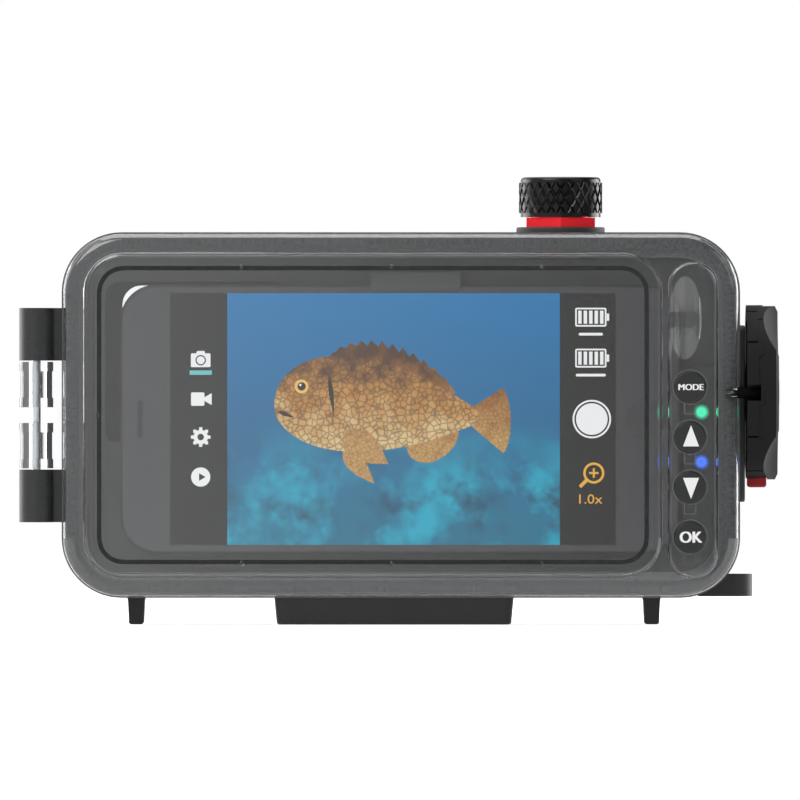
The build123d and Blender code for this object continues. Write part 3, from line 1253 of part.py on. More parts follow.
PIECES = {
    "front_shell": front_shell,
    "feet": feet,
    "lanyard_lug": lanyard_lug,
    "door": door,
    "door_seal": door_seal,
    "keeper_pin": keeper_pin,
    "button_seals": button_seals,
    "hinge_pin": hinge_pin,
    "latch_plate": latch_plate,
    "latch_plate_screws": latch_plate_screws,
    "dial_spindle": dial_spindle,
    "latch_dial": latch_dial,
    "lock_button": lock_button,
    "lock_spring": lock_spring,
    "valve_washer": valve_washer,
    "valve_body": valve_body,
    "valve_nut": valve_nut,
    "valve_cap": valve_cap,
    "cap_seal": cap_seal,
    "lens_window": lens_window,
    "lens_gasket": lens_gasket,
    "lens_frame": lens_frame,
    "lens_frame_screws": lens_frame_screws,
    "phone_tray": phone_tray,
    "tray_screws": tray_screws,
    "tray_pads": tray_pads,
    "phone_bumpers": phone_bumpers,
    "phone_clamp": phone_clamp,
    "phone_case": phone_case,
    "phone_glass": phone_glass,
    "phone_home_button": phone_home_button,
    "phone_camera": phone_camera,
    "control_board": control_board,
    "board_switches": board_switches,
    "led_green": lambda: led(LED_ZS[0]),
    "led_blue": lambda: led(LED_ZS[1]),
    "battery_cells": battery_cells,
    "battery_holder": battery_holder,
    "shutter_lever": shutter_lever,
    "lever_pin": lever_pin,
    "shutter_plunger": shutter_plunger,
    "plunger_spring": plunger_spring,
    "shutter_switch": shutter_switch,
    "tripod_shoe": tripod_shoe,
    "tripod_insert": tripod_insert,
    "shoe_screws": shoe_screws,
}


def write(name, made):
    """Writes one node: a single solid, or a group of separate ones."""
    solids = [s for piece in (made if isinstance(made, list) else [made]) for s in piece.solids()]
    export_step(Compound(children=solids) if len(solids) > 1 else solids[0], f"parts/{name}.step")


def main():
    """Builds every piece and writes it to parts/."""
    os.makedirs("parts", exist_ok=True)
    for name, make in PIECES.items():
        write(name, make())
    for name, z in zip(BUTTON_NAMES, BUTTON_ZS):
        write(f"button_{name}", button(z))
        write(f"clip_{name}", button_clip(z))
        write(f"spring_{name}", button_spring(z))


main()
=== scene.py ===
"""Looks of a rigid waterproof phone housing with a clear door, latch dial, valve and lit phone screen.

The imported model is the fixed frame. Each class below dresses one sub-assembly and adds what the solids leave out,
such as lettering, the screen's picture and the glow of the lamps. All sizes are in metres.
"""

import logging
import math
from collections.abc import Callable, Iterator
from contextlib import contextmanager
from dataclasses import dataclass
from enum import Enum

import bpy
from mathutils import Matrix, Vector
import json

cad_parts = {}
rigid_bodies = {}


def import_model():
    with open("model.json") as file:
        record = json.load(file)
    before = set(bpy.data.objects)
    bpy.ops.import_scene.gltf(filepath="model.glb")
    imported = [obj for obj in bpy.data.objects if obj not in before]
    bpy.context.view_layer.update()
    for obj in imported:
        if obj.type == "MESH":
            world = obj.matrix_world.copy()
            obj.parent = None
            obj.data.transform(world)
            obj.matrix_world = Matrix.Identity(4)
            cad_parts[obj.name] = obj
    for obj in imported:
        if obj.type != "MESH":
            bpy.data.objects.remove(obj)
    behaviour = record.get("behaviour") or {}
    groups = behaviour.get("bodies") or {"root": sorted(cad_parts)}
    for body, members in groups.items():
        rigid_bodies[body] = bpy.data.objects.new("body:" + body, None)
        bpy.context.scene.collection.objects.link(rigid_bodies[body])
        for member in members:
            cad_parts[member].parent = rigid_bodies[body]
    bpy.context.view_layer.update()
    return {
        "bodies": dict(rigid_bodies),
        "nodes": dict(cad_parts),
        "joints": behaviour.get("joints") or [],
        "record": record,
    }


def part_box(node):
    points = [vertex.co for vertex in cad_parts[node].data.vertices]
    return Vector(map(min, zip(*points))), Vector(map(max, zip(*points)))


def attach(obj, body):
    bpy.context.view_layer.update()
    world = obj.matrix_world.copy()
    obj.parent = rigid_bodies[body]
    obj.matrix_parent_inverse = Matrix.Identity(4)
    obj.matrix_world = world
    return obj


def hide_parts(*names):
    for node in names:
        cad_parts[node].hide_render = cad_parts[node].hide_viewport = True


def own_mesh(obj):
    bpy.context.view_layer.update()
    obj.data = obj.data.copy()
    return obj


LOG = logging.getLogger("housing")
MM = 0.001
PHOTO_SIDE = 800
PHOTO_PIXEL = 0.275 * MM
PHOTO_ORIGIN = (394, 625)
CAMERA_DISTANCE = 5.0
FACING = (math.pi / 2, 0.0, 0.0)
CORNER_STEPS = 5
WHITE = (1.0, 1.0, 1.0, 1.0)
BUMP_DEPTH = 0.1 * MM

Colour = tuple[float, float, float]
Point = tuple[float, float]
Piece = bpy.types.Object
Material = bpy.types.Material
Outputs = bpy.types.NodeOutputs
Socket = bpy.types.NodeSocket
Value = float | tuple[float, ...] | Socket
Inputs = dict[str | int, Value]


class Body(Enum):
    """The bodies that pieces ride on."""

    HOUSING = "housing"
    DOOR = "door"
    MODE = "button_mode"
    UP = "button_up"
    DOWN = "button_down"
    OK = "button_ok"
    DIAL = "latch_dial"


class Axis(Enum):
    """Direction that a spring shortens in."""

    Y = 1
    Z = 2


def srgb(red: float, green: float, blue: float) -> Colour:
    """Turns display values from 0 to 255 into scene-linear ones."""
    return tuple(((v / 255 + 0.055) / 1.055) ** 2.4 if v > 10.3 else v / 255 / 12.92 for v in (red, green, blue))


# Shader nodes


class Graph:
    """A node tree whose nodes are added with their inputs set or linked in one go.

    Attributes:
        nodes: the tree's nodes.
        links: the tree's links.
    """

    def __init__(self, tree: bpy.types.NodeTree) -> None:
        self.nodes = tree.nodes
        self.links = tree.links

    def add(self, kind: str, inputs: Inputs, **settings: str | bpy.types.NodeTree) -> bpy.types.Node:
        """Adds one node.

        Args:
            kind: the node's type, without the prefix that all share.
            inputs: what its inputs are set to or linked from, by name or number.
            settings: the node's own properties.

        Returns:
            The new node.
        """
        node = self.nodes.new(f"ShaderNode{kind}")
        for label, value in settings.items():
            setattr(node, label, value)
        self.feed(node, inputs)
        return node

    def feed(self, node: bpy.types.Node, inputs: Inputs) -> None:
        """Sets or links some of a node's inputs."""
        for label, value in inputs.items():
            if isinstance(value, Socket):
                self.links.new(value, node.inputs[label])
            else:
                node.inputs[label].default_value = value

    def math(self, operation: str, *values: Value) -> Socket:
        """Works out one sum of up to three values."""
        return self.add("Math", dict(enumerate(values)), operation=operation).outputs[0]

    def where(self, space: str = "Object") -> Socket:
        """Returns the place on the piece."""
        return self.add("TexCoord", {}).outputs[space]

    def split(self, place: Socket) -> Outputs:
        """Returns a place's X, Y and Z."""
        return self.add("SeparateXYZ", {0: place}).outputs

    def noise(self, place: Socket, scale: Value, detail: float, **inputs: Value) -> Socket:
        """Returns soft noise from 0 to 1."""
        return self.add("TexNoise", {"Vector": place, "Scale": scale, "Detail": detail, **inputs}).outputs["Fac"]

    def fade(
        self, value: Socket, start: Value, end: Value, ends: Point = (0.0, 1.0), kind: str = "LINEAR"
    ) -> Socket:
        """Maps a value between a start and an end onto two others."""
        span = {"Value": value, "From Min": start, "From Max": end, "To Min": ends[0], "To Max": ends[1]}
        return self.add("MapRange", span, interpolation_type=kind).outputs["Result"]

    def ramp(self, value: Socket, *stops: tuple[float, Colour]) -> Socket:
        """Turns a value into a colour between two or more stops."""
        node = self.add("ValToRGB", {"Fac": value})
        elements = node.color_ramp.elements
        for element, (place, colour) in zip(elements, (stops[0], stops[-1])):
            element.position, element.color = place, (*colour, 1)
        for place, colour in stops[1:-1]:
            elements.new(place).color = (*colour, 1)
        return node.outputs["Color"]

    def tint(self, mask: Socket, base: Value, colour: Value) -> Socket:
        """Lays a colour over another where a mask is 1."""
        node = self.add("Mix", {}, data_type="RGBA")
        self.feed(node, {0: mask, 6: base, 7: colour})
        return node.outputs[2]

    def blend(self, mask: Socket, first: Socket, second: Socket) -> Socket:
        """Shows the second of two shaders where a mask is 1."""
        return self.add("MixShader", {"Fac": mask, 1: first, 2: second}).outputs["Shader"]

    def seen(self, path: Outputs) -> Socket:
        """Is 1 for what the camera sees, straight on or by a reflection or refraction."""
        direct = self.math("MAXIMUM", path["Is Camera Ray"], path["Is Glossy Ray"])
        return self.math("MAXIMUM", direct, path["Is Transmission Ray"])


class Groups:
    """Shader node groups that several finishes share, each built once.

    Attributes:
        PATCH_SCALE: how small the patches of the roughness are.
        SPECK_SCALE: how small the specks of the shade are.
    """

    PATCH_SCALE = 60.0
    SPECK_SCALE = 1300.0
    Fill = Callable[[Graph, Outputs], dict[str, Socket]]
    _made: dict[str, bpy.types.NodeTree] = {}

    @classmethod
    def _get(cls, name: str, inputs: dict[str, float], outputs: tuple[str, ...], fill: Fill) -> bpy.types.NodeTree:
        """Returns the named group, and builds it on first use.

        Args:
            name: the group's name.
            inputs: its inputs and their first values.
            outputs: its outputs.
            fill: adds its nodes and returns what goes to each output.

        Returns:
            The node tree.
        """
        if name not in cls._made:
            tree = bpy.data.node_groups.new(name, "ShaderNodeTree")
            sockets = tree.interface
            for label, value in inputs.items():
                sockets.new_socket(label, in_out="INPUT", socket_type="NodeSocketFloat").default_value = value
            for label in outputs:
                sockets.new_socket(label, in_out="OUTPUT", socket_type="NodeSocketFloat")
            source = tree.nodes.new("NodeGroupInput")
            target = tree.nodes.new("NodeGroupOutput")
            graph = Graph(tree)
            graph.feed(target, fill(graph, source.outputs))
            cls._made[name] = tree
        return cls._made[name]

    @classmethod
    def grain(cls) -> bpy.types.NodeTree:
        """Moulded grain: a height, a patchy roughness value and a mottled shade.

        Returns:
            A group with inputs Scale, Base, Spread and Mottle, and outputs Height, Roughness and Shade.
        """

        def fill(graph: Graph, given: Outputs) -> dict[str, Socket]:
            place = graph.where()
            patches = graph.math("SUBTRACT", graph.noise(place, cls.PATCH_SCALE, 4.0), 0.5)
            specks = graph.math("SUBTRACT", graph.noise(place, cls.SPECK_SCALE, 2.0), 0.5)
            return {
                "Height": graph.noise(place, given["Scale"], 3.0),
                "Roughness": graph.math("MULTIPLY_ADD", patches, given["Spread"], given["Base"]),
                "Shade": graph.math("MULTIPLY_ADD", specks, given["Mottle"], 1.0),
            }

        inputs = {"Scale": 2500.0, "Base": 0.4, "Spread": 0.1, "Mottle": 0.0}
        return cls._get("moulded_grain", inputs, ("Height", "Roughness", "Shade"), fill)

    @classmethod
    def depth(cls) -> bpy.types.NodeTree:
        """Tells the flange, near the user, from the faces behind a plane and those left of the body, so that the
        flange can take its painted sheen.

        Returns:
            A group with inputs Plane, a Y value, and Side, an X value, and output Behind, 0 for the flange.
        """

        def fill(graph: Graph, given: Outputs) -> dict[str, Socket]:
            place = graph.split(graph.where())
            behind = graph.math("GREATER_THAN", place["Y"], given["Plane"])
            left = graph.math("LESS_THAN", place["X"], given["Side"])
            return {"Behind": graph.math("MAXIMUM", behind, left)}

        return cls._get("behind_plane", {"Plane": 0.0, "Side": -1.0}, ("Behind",), fill)

    @classmethod
    def spot(cls) -> bpy.types.NodeTree:
        """Soft spot in the X-Z plane, 1 within its core and 0 from its radius on, and Tall times as high as wide.

        Returns:
            A group with inputs X, Z, Core, Radius and Tall, and output Mask.
        """

        def fill(graph: Graph, given: Outputs) -> dict[str, Socket]:
            place = graph.split(graph.where())
            across = graph.math("SUBTRACT", place["X"], given["X"])
            up = graph.math("DIVIDE", graph.math("SUBTRACT", place["Z"], given["Z"]), given["Tall"])
            offset = graph.add("CombineXYZ", {"X": across, "Z": up}).outputs[0]
            away = graph.add("VectorMath", {0: offset}, operation="LENGTH").outputs["Value"]
            return {"Mask": graph.fade(away, given["Core"], given["Radius"], (1.0, 0.0), "SMOOTHSTEP")}

        inputs = {"X": 0.0, "Z": 0.0, "Core": 0.0, "Radius": 2 * MM, "Tall": 1.0}
        return cls._get("soft_spot", inputs, ("Mask",), fill)


# Finishes


@dataclass(frozen=True)
class Look:
    """A material that is built once.

    Attributes:
        name: the material's name.
    """

    name: str

    def material(self) -> Material:
        """Builds the material, or returns the one built before."""
        found = bpy.data.materials.get(self.name)
        if found:
            return found
        made = bpy.data.materials.new(self.name)
        made.use_nodes = True
        self._fill(Graph(made.node_tree), made.node_tree.nodes["Principled BSDF"])
        return made

    def _fill(self, graph: Graph, shader: bpy.types.Node) -> None:
        """Sets the material's nodes.

        Args:
            graph: the material's node tree.
            shader: its main shader.
        """
        raise NotImplementedError


@dataclass(frozen=True)
class Finish(Look):
    """An opaque finish with moulded or machined grain.

    Attributes:
        colour: base colour, scene-linear.
        roughness: middle of the roughness range.
        spread: how far roughness wanders over the surface.
        metallic: 1 for bare metal.
        grain: depth of the fine bump, 0 for none.
        scale: how fine the grain is.
        specular: level of the surface's reflection, 0.5 for common plastic.
        mottle: how far the colour's brightness wanders in fine specks.
    """

    colour: Colour
    roughness: float
    spread: float = 0.12
    metallic: float = 0.0
    grain: float = 0.05
    scale: float = 2500.0
    specular: float = 0.5
    mottle: float = 0.0

    def material(self) -> Material:
        """Builds the material, or returns the one built before."""
        made = super().material()
        made.diffuse_color = (*self.colour, 1)
        return made

    def _tone(self, graph: Graph) -> Value:
        """Returns the colour that the specks vary."""
        return (*self.colour, 1)

    def _fill(self, graph: Graph, shader: bpy.types.Node) -> None:
        """Sets the material's nodes."""
        inputs = {"Scale": self.scale, "Base": self.roughness, "Spread": self.spread, "Mottle": self.mottle}
        grain = graph.add("Group", inputs, node_tree=Groups.grain()).outputs
        graph.feed(shader, {
            "Base Color": (*self.colour, 1), "Metallic": self.metallic, "Specular IOR Level": self.specular,
            "Roughness": grain["Roughness"],
        })
        if self.mottle:
            tone = graph.add("HueSaturation", {"Color": self._tone(graph), "Value": grain["Shade"]})
            graph.feed(shader, {"Base Color": tone.outputs["Color"]})
        if self.grain:
            bump = graph.add("Bump", {"Strength": self.grain, "Distance": BUMP_DEPTH, "Height": grain["Height"]})
            graph.feed(shader, {"Normal": bump.outputs["Normal"]})


@dataclass(frozen=True)
class FlangeSheenFinish(Finish):
    """Mottled moulded black whose flange, the faces up to a plane, is painted paler: a painted sheen for the pale
    veil of light that the clear door lays over it.

    Attributes:
        flange: colour of the flange, a painted sheen.
        plane: Y at which it ends.
        side: X of the body's left side, past which the hinge blocks stay black.
    """

    flange: Colour = (0.05, 0.05, 0.05)
    plane: float = -13.5 * MM
    side: float = -91.4 * MM

    def _tone(self, graph: Graph) -> Value:
        """Returns the flange's paler colour, a painted sheen, or the shell's."""
        group = graph.add("Group", {"Plane": self.plane, "Side": self.side}, node_tree=Groups.depth())
        # The flange's paler colour is painted sheen, standing in for the veil of light that the clear door lays
        # over it.
        return graph.tint(group.outputs["Behind"], (*self.flange, 1), (*self.colour, 1))


@dataclass(frozen=True)
class ClearFinish(Look):
    """Clear moulded plastic or glass. Light passes it, so that what is inside stays lit.

    Attributes:
        tint: colour that the material gives to what is seen through it.
        ior: index of refraction.
        roughness: middle of the roughness range.
        scale: how fine the roughness's patches are.
        passed: share of the light that reaches what is inside.
    """

    tint: Colour
    ior: float
    roughness: float
    scale: float = 1400.0
    passed: float = 0.85

    def _fill(self, graph: Graph, shader: bpy.types.Node) -> None:
        """Sets the material's nodes."""
        inputs = {"Scale": self.scale, "Base": self.roughness, "Spread": self.roughness}
        grain = graph.add("Group", inputs, node_tree=Groups.grain())
        graph.feed(shader, {
            "Base Color": (*self.tint, 1), "Transmission Weight": 1.0, "IOR": self.ior,
            "Roughness": grain.outputs["Roughness"],
        })
        path = graph.add("LightPath", {}).outputs
        lit = graph.math("MAXIMUM", path["Is Shadow Ray"], path["Is Diffuse Ray"])
        clear = graph.add("BsdfTransparent", {"Color": (self.passed, self.passed, self.passed, 1)})
        surface = graph.blend(lit, shader.outputs["BSDF"], clear.outputs["BSDF"])
        graph.feed(graph.nodes["Material Output"], {"Surface": surface})


@dataclass(frozen=True)
class LitFinish(Look):
    """A lit surface, such as a part of the screen or a lamp, or print given a painted glow.

    Attributes:
        colour: the light's colour, scene-linear.
        strength: how bright it is.
        base: grey of the surface itself.
    """

    colour: Colour
    strength: float
    base: float = 0.01

    def _fill(self, graph: Graph, shader: bpy.types.Node) -> None:
        """Sets the material's nodes."""
        graph.feed(shader, {
            "Base Color": (self.base, self.base, self.base, 1), "Roughness": 0.5, "Specular IOR Level": 0.0,
            "Emission Color": (*self.colour, 1), "Emission Strength": self.strength,
        })


@dataclass(frozen=True)
class Spot:
    """Shape of one glow.

    Attributes:
        shift: how far its middle lies to the right of its lamp.
        radius: where it ends, sideways.
        peak: how far it covers what lies behind its middle, up to 1.
        core: how far from its middle it starts to fade.
        tall: its height as a multiple of its width.
    """

    shift: float = 0.0
    radius: float = 2.4 * MM
    peak: float = 0.95
    core: float = 0.9 * MM
    tall: float = 1.0


@dataclass(frozen=True)
class GlowFinish(LitFinish):
    """Light of a lamp in the clear parts before it, full in its core and gone at its edge.

    Attributes:
        x: middle of the glow.
        z: middle of the glow.
        spot: the glow's shape.
    """

    x: float = 0.0
    z: float = 0.0
    spot: Spot = Spot()

    def _fill(self, graph: Graph, shader: bpy.types.Node) -> None:
        """Sets the material's nodes."""
        super()._fill(graph, shader)
        spot = self.spot
        inputs = {"X": self.x, "Z": self.z, "Core": spot.core, "Radius": spot.radius, "Tall": spot.tall}
        mask = graph.add("Group", inputs, node_tree=Groups.spot()).outputs["Mask"]
        graph.feed(shader, {"Alpha": graph.math("MULTIPLY", mask, spot.peak)})


# The flange colour is a painted sheen: the pale veil of light seen on the shell's flange through the clear door.
SHELL = FlangeSheenFinish(
    "shell_black", srgb(26, 27, 28), 0.45, grain=0.12, scale=3200, specular=0.35, mottle=1.6,
    flange=srgb(74, 75, 76),
)
OUTER_BLACK = Finish("outer_black", srgb(26, 26, 27), 0.48, grain=0.1, scale=3200, specular=0.3)
DIAL_BLACK = Finish("dial_black", srgb(24, 24, 25), 0.6, grain=0.06, specular=0.06)
KEEPER_BLACK = Finish("keeper_black", srgb(16, 16, 17), 0.8, grain=0.04, specular=0.0)
RUBBER = Finish("seal_rubber", srgb(24, 24, 25), 0.6, grain=0.2)
SEAL_GREY = Finish("seal_silicone", srgb(80, 81, 82), 0.6, grain=0.2, specular=0.2, mottle=1.6)
STEEL = Finish("pin_steel", srgb(185, 187, 190), 0.25, metallic=1.0, grain=0.03)
DARK_STEEL = Finish("screw_steel", srgb(70, 71, 74), 0.35, metallic=1.0, grain=0.03)
RED_METAL = Finish("red_anodised", srgb(220, 32, 42), 0.28, metallic=0.75, grain=0.02)
RED_PLASTIC = Finish("lock_red", srgb(132, 16, 20), 0.45, specular=0.2)
CAP_METAL = Finish("cap_anodised", srgb(8, 8, 9), 0.2, grain=0.03, specular=0.22)
BUTTON_BLACK = Finish("button_black", srgb(22, 23, 24), 0.42, grain=0.08, specular=0.3)
TRAY_BLACK = Finish("tray_black", srgb(36, 37, 38), 0.5, grain=0.12)
PHONE_GREY = Finish("phone_frame", srgb(34, 34, 36), 0.5, grain=0.05, scale=4000, specular=0.2)
PHONE_BLACK = Finish("phone_front", srgb(50, 50, 52), 0.12, spread=0.04, grain=0.0)
HOME_BLACK = Finish("home_button", srgb(36, 36, 38), 0.2, spread=0.04, grain=0.0)
BOARD = Finish("board_mask", srgb(16, 18, 18), 0.45)
SWITCH_GREY = Finish("switch_body", srgb(60, 61, 63), 0.4)
CELL_SLEEVE = Finish("cell_sleeve", srgb(90, 95, 100), 0.3, metallic=0.6)
BRASS = Finish("brass_insert", srgb(190, 155, 90), 0.3, metallic=1.0)
DOOR_CLEAR = ClearFinish("door_clear", (0.93, 0.94, 0.95), 1.58, 0.03)
LENS_GLASS = ClearFinish("window_glass", (0.97, 0.98, 0.98), 1.5, 0.01)
# Painted shade: a dark sheet that darkens the moat round the door's window.
MOAT_SHADE = Finish("moat_shade", srgb(50, 51, 52), 0.8, grain=0.0, specular=0.0, mottle=1.2)
BORDER_INK = Finish("border_ink", srgb(14, 14, 15), 0.5, grain=0.0, specular=0.3)
# Pale line: painted highlights round the button holes, and the square marks under them.
BAY_HIGHLIGHT_AND_MARK_LINE = Finish("bay_highlight_and_mark_line", srgb(108, 109, 110), 0.6, grain=0.0, specular=0.1)
# White print given a painted glow, so that it stays white under any light.
GLOWING_INK_WHITE = LitFinish("ink_white_glow", (0.87, 0.87, 0.87), 0.95)
LAMP_GREEN = LitFinish("lamp_green", (0.08, 1.0, 0.45), 3.0)
LAMP_BLUE = LitFinish("lamp_blue", (0.1, 0.25, 1.0), 3.0)
SCREEN_DARK = LitFinish("screen_dark", srgb(22, 22, 24), 0.6)
SCREEN_WHITE = LitFinish("screen_white", (0.9, 0.9, 0.9), 1.0)
SCREEN_TEAL = LitFinish("screen_teal", srgb(112, 204, 204), 0.9)
SCREEN_YELLOW = LitFinish("screen_yellow", srgb(240, 180, 50), 0.95)
FISH_DARK = LitFinish("fish_dark", srgb(34, 22, 14), 1.0)
FISH_GOLD = LitFinish("fish_gold", srgb(236, 190, 96), 1.0)

LOOKED_NODES: dict[Look, str] = {
    SHELL: "front_shell lens_frame",
    OUTER_BLACK: "feet lanyard_lug latch_plate tripod_shoe shutter_lever",
    DIAL_BLACK: "dial_spindle latch_dial",
    KEEPER_BLACK: "keeper_pin",
    RUBBER: "valve_washer lens_gasket tray_pads phone_bumpers button_seals cap_seal",
    SEAL_GREY: "door_seal",
    STEEL: "hinge_pin lens_frame_screws lever_pin plunger_spring shoe_screws spring_mode spring_up spring_down "
           "spring_ok clip_mode clip_up clip_down clip_ok lock_spring shutter_plunger",
    DARK_STEEL: "latch_plate_screws tray_screws",
    RED_METAL: "valve_body",
    RED_PLASTIC: "lock_button",
    CAP_METAL: "valve_cap",
    BUTTON_BLACK: "button_mode button_up button_down button_ok",
    TRAY_BLACK: "phone_tray phone_clamp battery_holder",
    PHONE_GREY: "phone_case",
    PHONE_BLACK: "phone_glass phone_camera",
    HOME_BLACK: "phone_home_button",
    BOARD: "control_board",
    SWITCH_GREY: "board_switches shutter_switch",
    CELL_SLEEVE: "battery_cells",
    BRASS: "valve_nut tripod_insert",
    DOOR_CLEAR: "door",
    LENS_GLASS: "lens_window",
    LAMP_GREEN: "led_green",
    LAMP_BLUE: "led_blue",
}
NODE_LOOKS: dict[str, Look] = {node: look for look, names in LOOKED_NODES.items() for node in names.split()}


# Modelling helpers


def dress(piece: Piece, material: Material) -> None:
    """Puts one material on a whole piece."""
    piece.data.materials.clear()
    piece.data.materials.append(material)


def pick(pieces: list[Piece]) -> None:
    """Selects these pieces alone, the first of them active."""
    bpy.ops.object.select_all(action="DESELECT")
    for piece in pieces:
        piece.select_set(True)
    if pieces:
        bpy.context.view_layer.objects.active = pieces[0]


@contextmanager
def editing(piece: Piece) -> Iterator[None]:
    """Opens a piece in edit mode with all of it selected, and closes it afterwards."""
    pick([piece])
    bpy.ops.object.mode_set(mode="EDIT")
    bpy.ops.mesh.select_all(action="SELECT")
    yield
    bpy.ops.object.mode_set(mode="OBJECT")


def settle(piece: Piece, name: str) -> Piece:
    """Names a new piece and moves its place into its mesh.

    Args:
        piece: the new piece.
        name: the piece's name.

    Returns:
        The same piece.
    """
    piece.name = name
    piece.data.name = name
    pick([piece])
    bpy.ops.object.transform_apply(location=True, rotation=True, scale=True)
    return piece


def join(pieces: list[Piece]) -> Piece:
    """Joins one or more pieces into the first of them."""
    pick(pieces)
    if len(pieces) > 1:
        bpy.ops.object.join()
    return pieces[0]


def apply(piece: Piece, modifier: bpy.types.Modifier) -> None:
    """Applies a piece's modifier."""
    bpy.context.view_layer.objects.active = piece
    bpy.ops.object.modifier_apply(modifier=modifier.name)


def thicken(piece: Piece, depth: float) -> None:
    """Gives a flat piece a thickness towards its back."""
    wall = piece.modifiers.new("wall", "SOLIDIFY")
    wall.thickness = depth
    wall.offset = -1
    apply(piece, wall)


def cut(piece: Piece, tool: Piece) -> None:
    """Takes one closed piece out of another, and removes it."""
    hole = piece.modifiers.new("hole", "BOOLEAN")
    hole.operation = "DIFFERENCE"
    hole.object = tool
    apply(piece, hole)
    bpy.data.objects.remove(tool, do_unlink=True)


def rotate(piece: Piece, angle: float, x: float, y: float, z: float) -> None:
    """Turns a flat piece in its plane about a place."""
    with editing(piece):
        bpy.ops.transform.rotate(value=angle, orient_axis="Y", center_override=(x, y, z))


def disc(x: float, z: float, y: float, radius: float, sides: int = 40, turn: float = 0.0) -> Piece:
    """Flat filled disc or polygon that faces the user.

    Args:
        x: centre.
        z: centre.
        y: plane that it lies in.
        radius: out to its corners.
        sides: number of corners.
        turn: angle that it is turned by, in its plane.

    Returns:
        The new piece, place applied.
    """
    pick([])
    bpy.ops.mesh.primitive_circle_add(
        vertices=sides, radius=radius, fill_type="NGON", location=(x, y, z), rotation=FACING
    )
    piece = settle(bpy.context.object, "disc")
    if turn:
        rotate(piece, turn, x, y, z)
    return piece


def plate(x: float, z: float, y: float, width: float, height: float, corner: float = 0.0) -> Piece:
    """Flat rectangle that faces the user, with rounded corners if asked."""
    pick([])
    bpy.ops.mesh.primitive_plane_add(size=1, location=(x, y, z), rotation=FACING)
    piece = bpy.context.object
    piece.scale = (width, height, 1)
    settle(piece, "plate")
    if corner:
        with editing(piece):
            bpy.ops.mesh.bevel(offset=corner, offset_type="OFFSET", segments=CORNER_STEPS, affect="VERTICES")
    return piece


def hollow(piece: Piece, line: float) -> Piece:
    """Leaves only a line along a flat piece's edge."""
    with editing(piece):
        bpy.ops.mesh.inset(thickness=line)
        bpy.ops.mesh.delete(type="FACE")
    return piece


def shape(corners: list[Point], y: float) -> Piece:
    """Flat filled outline that faces the user.

    Args:
        corners: X and Z of each corner, in order round the outline.
        y: plane that it lies in.

    Returns:
        The new piece.
    """
    piece = disc(0.0, 0.0, y, 1 * MM, sides=len(corners))
    for vertex, (x, z) in zip(piece.data.vertices, corners):
        vertex.co = (x, y, z)
    piece.data.update()
    if piece.data.polygons[0].normal.y > 0:
        piece.data.flip_normals()
    return piece


def lettering(text: str, x: float, z: float, y: float, height: float, width: float) -> Piece:
    """Flat lettering, centred and stretched to a size.

    Args:
        text: what it says.
        x: centre.
        z: centre.
        y: plane that it lies in.
        height: height of the capitals.
        width: whole width.

    Returns:
        A mesh, place applied.
    """
    pick([])
    bpy.ops.object.text_add(rotation=FACING)
    piece = bpy.context.object
    piece.data.body = text
    piece.data.align_x = "CENTER"
    piece.data.resolution_u = 4
    bpy.ops.object.convert(target="MESH")
    piece = settle(bpy.context.object, "lettering")
    low = Vector(map(min, *(v.co for v in piece.data.vertices)))
    high = Vector(map(max, *(v.co for v in piece.data.vertices)))
    middle, span = (low + high) / 2, high - low
    piece.scale = (width / span.x, 1, height / span.z)
    piece.location = (x - middle.x * width / span.x, y, z - middle.z * height / span.z)
    return settle(piece, "lettering")


def mount(piece: Piece, name: str, material: Material, body: Body) -> None:
    """Finishes a piece and puts it on its body.

    Args:
        piece: the finished shape.
        name: the piece's name.
        material: what it is made of.
        body: the body that it moves with.
    """
    settle(piece, name)
    dress(piece, material)
    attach(piece, body.value)
    LOG.info("piece %s rides on %s", piece.name, body.value)


# Studio


@dataclass(frozen=True)
class Lamp:
    """One soft lamp that points at the part.

    Attributes:
        name: the lamp's name.
        place: where it stands.
        size: side of its square.
        power: its power in watts.
    """

    name: str
    place: tuple[float, float, float]
    size: float
    power: float


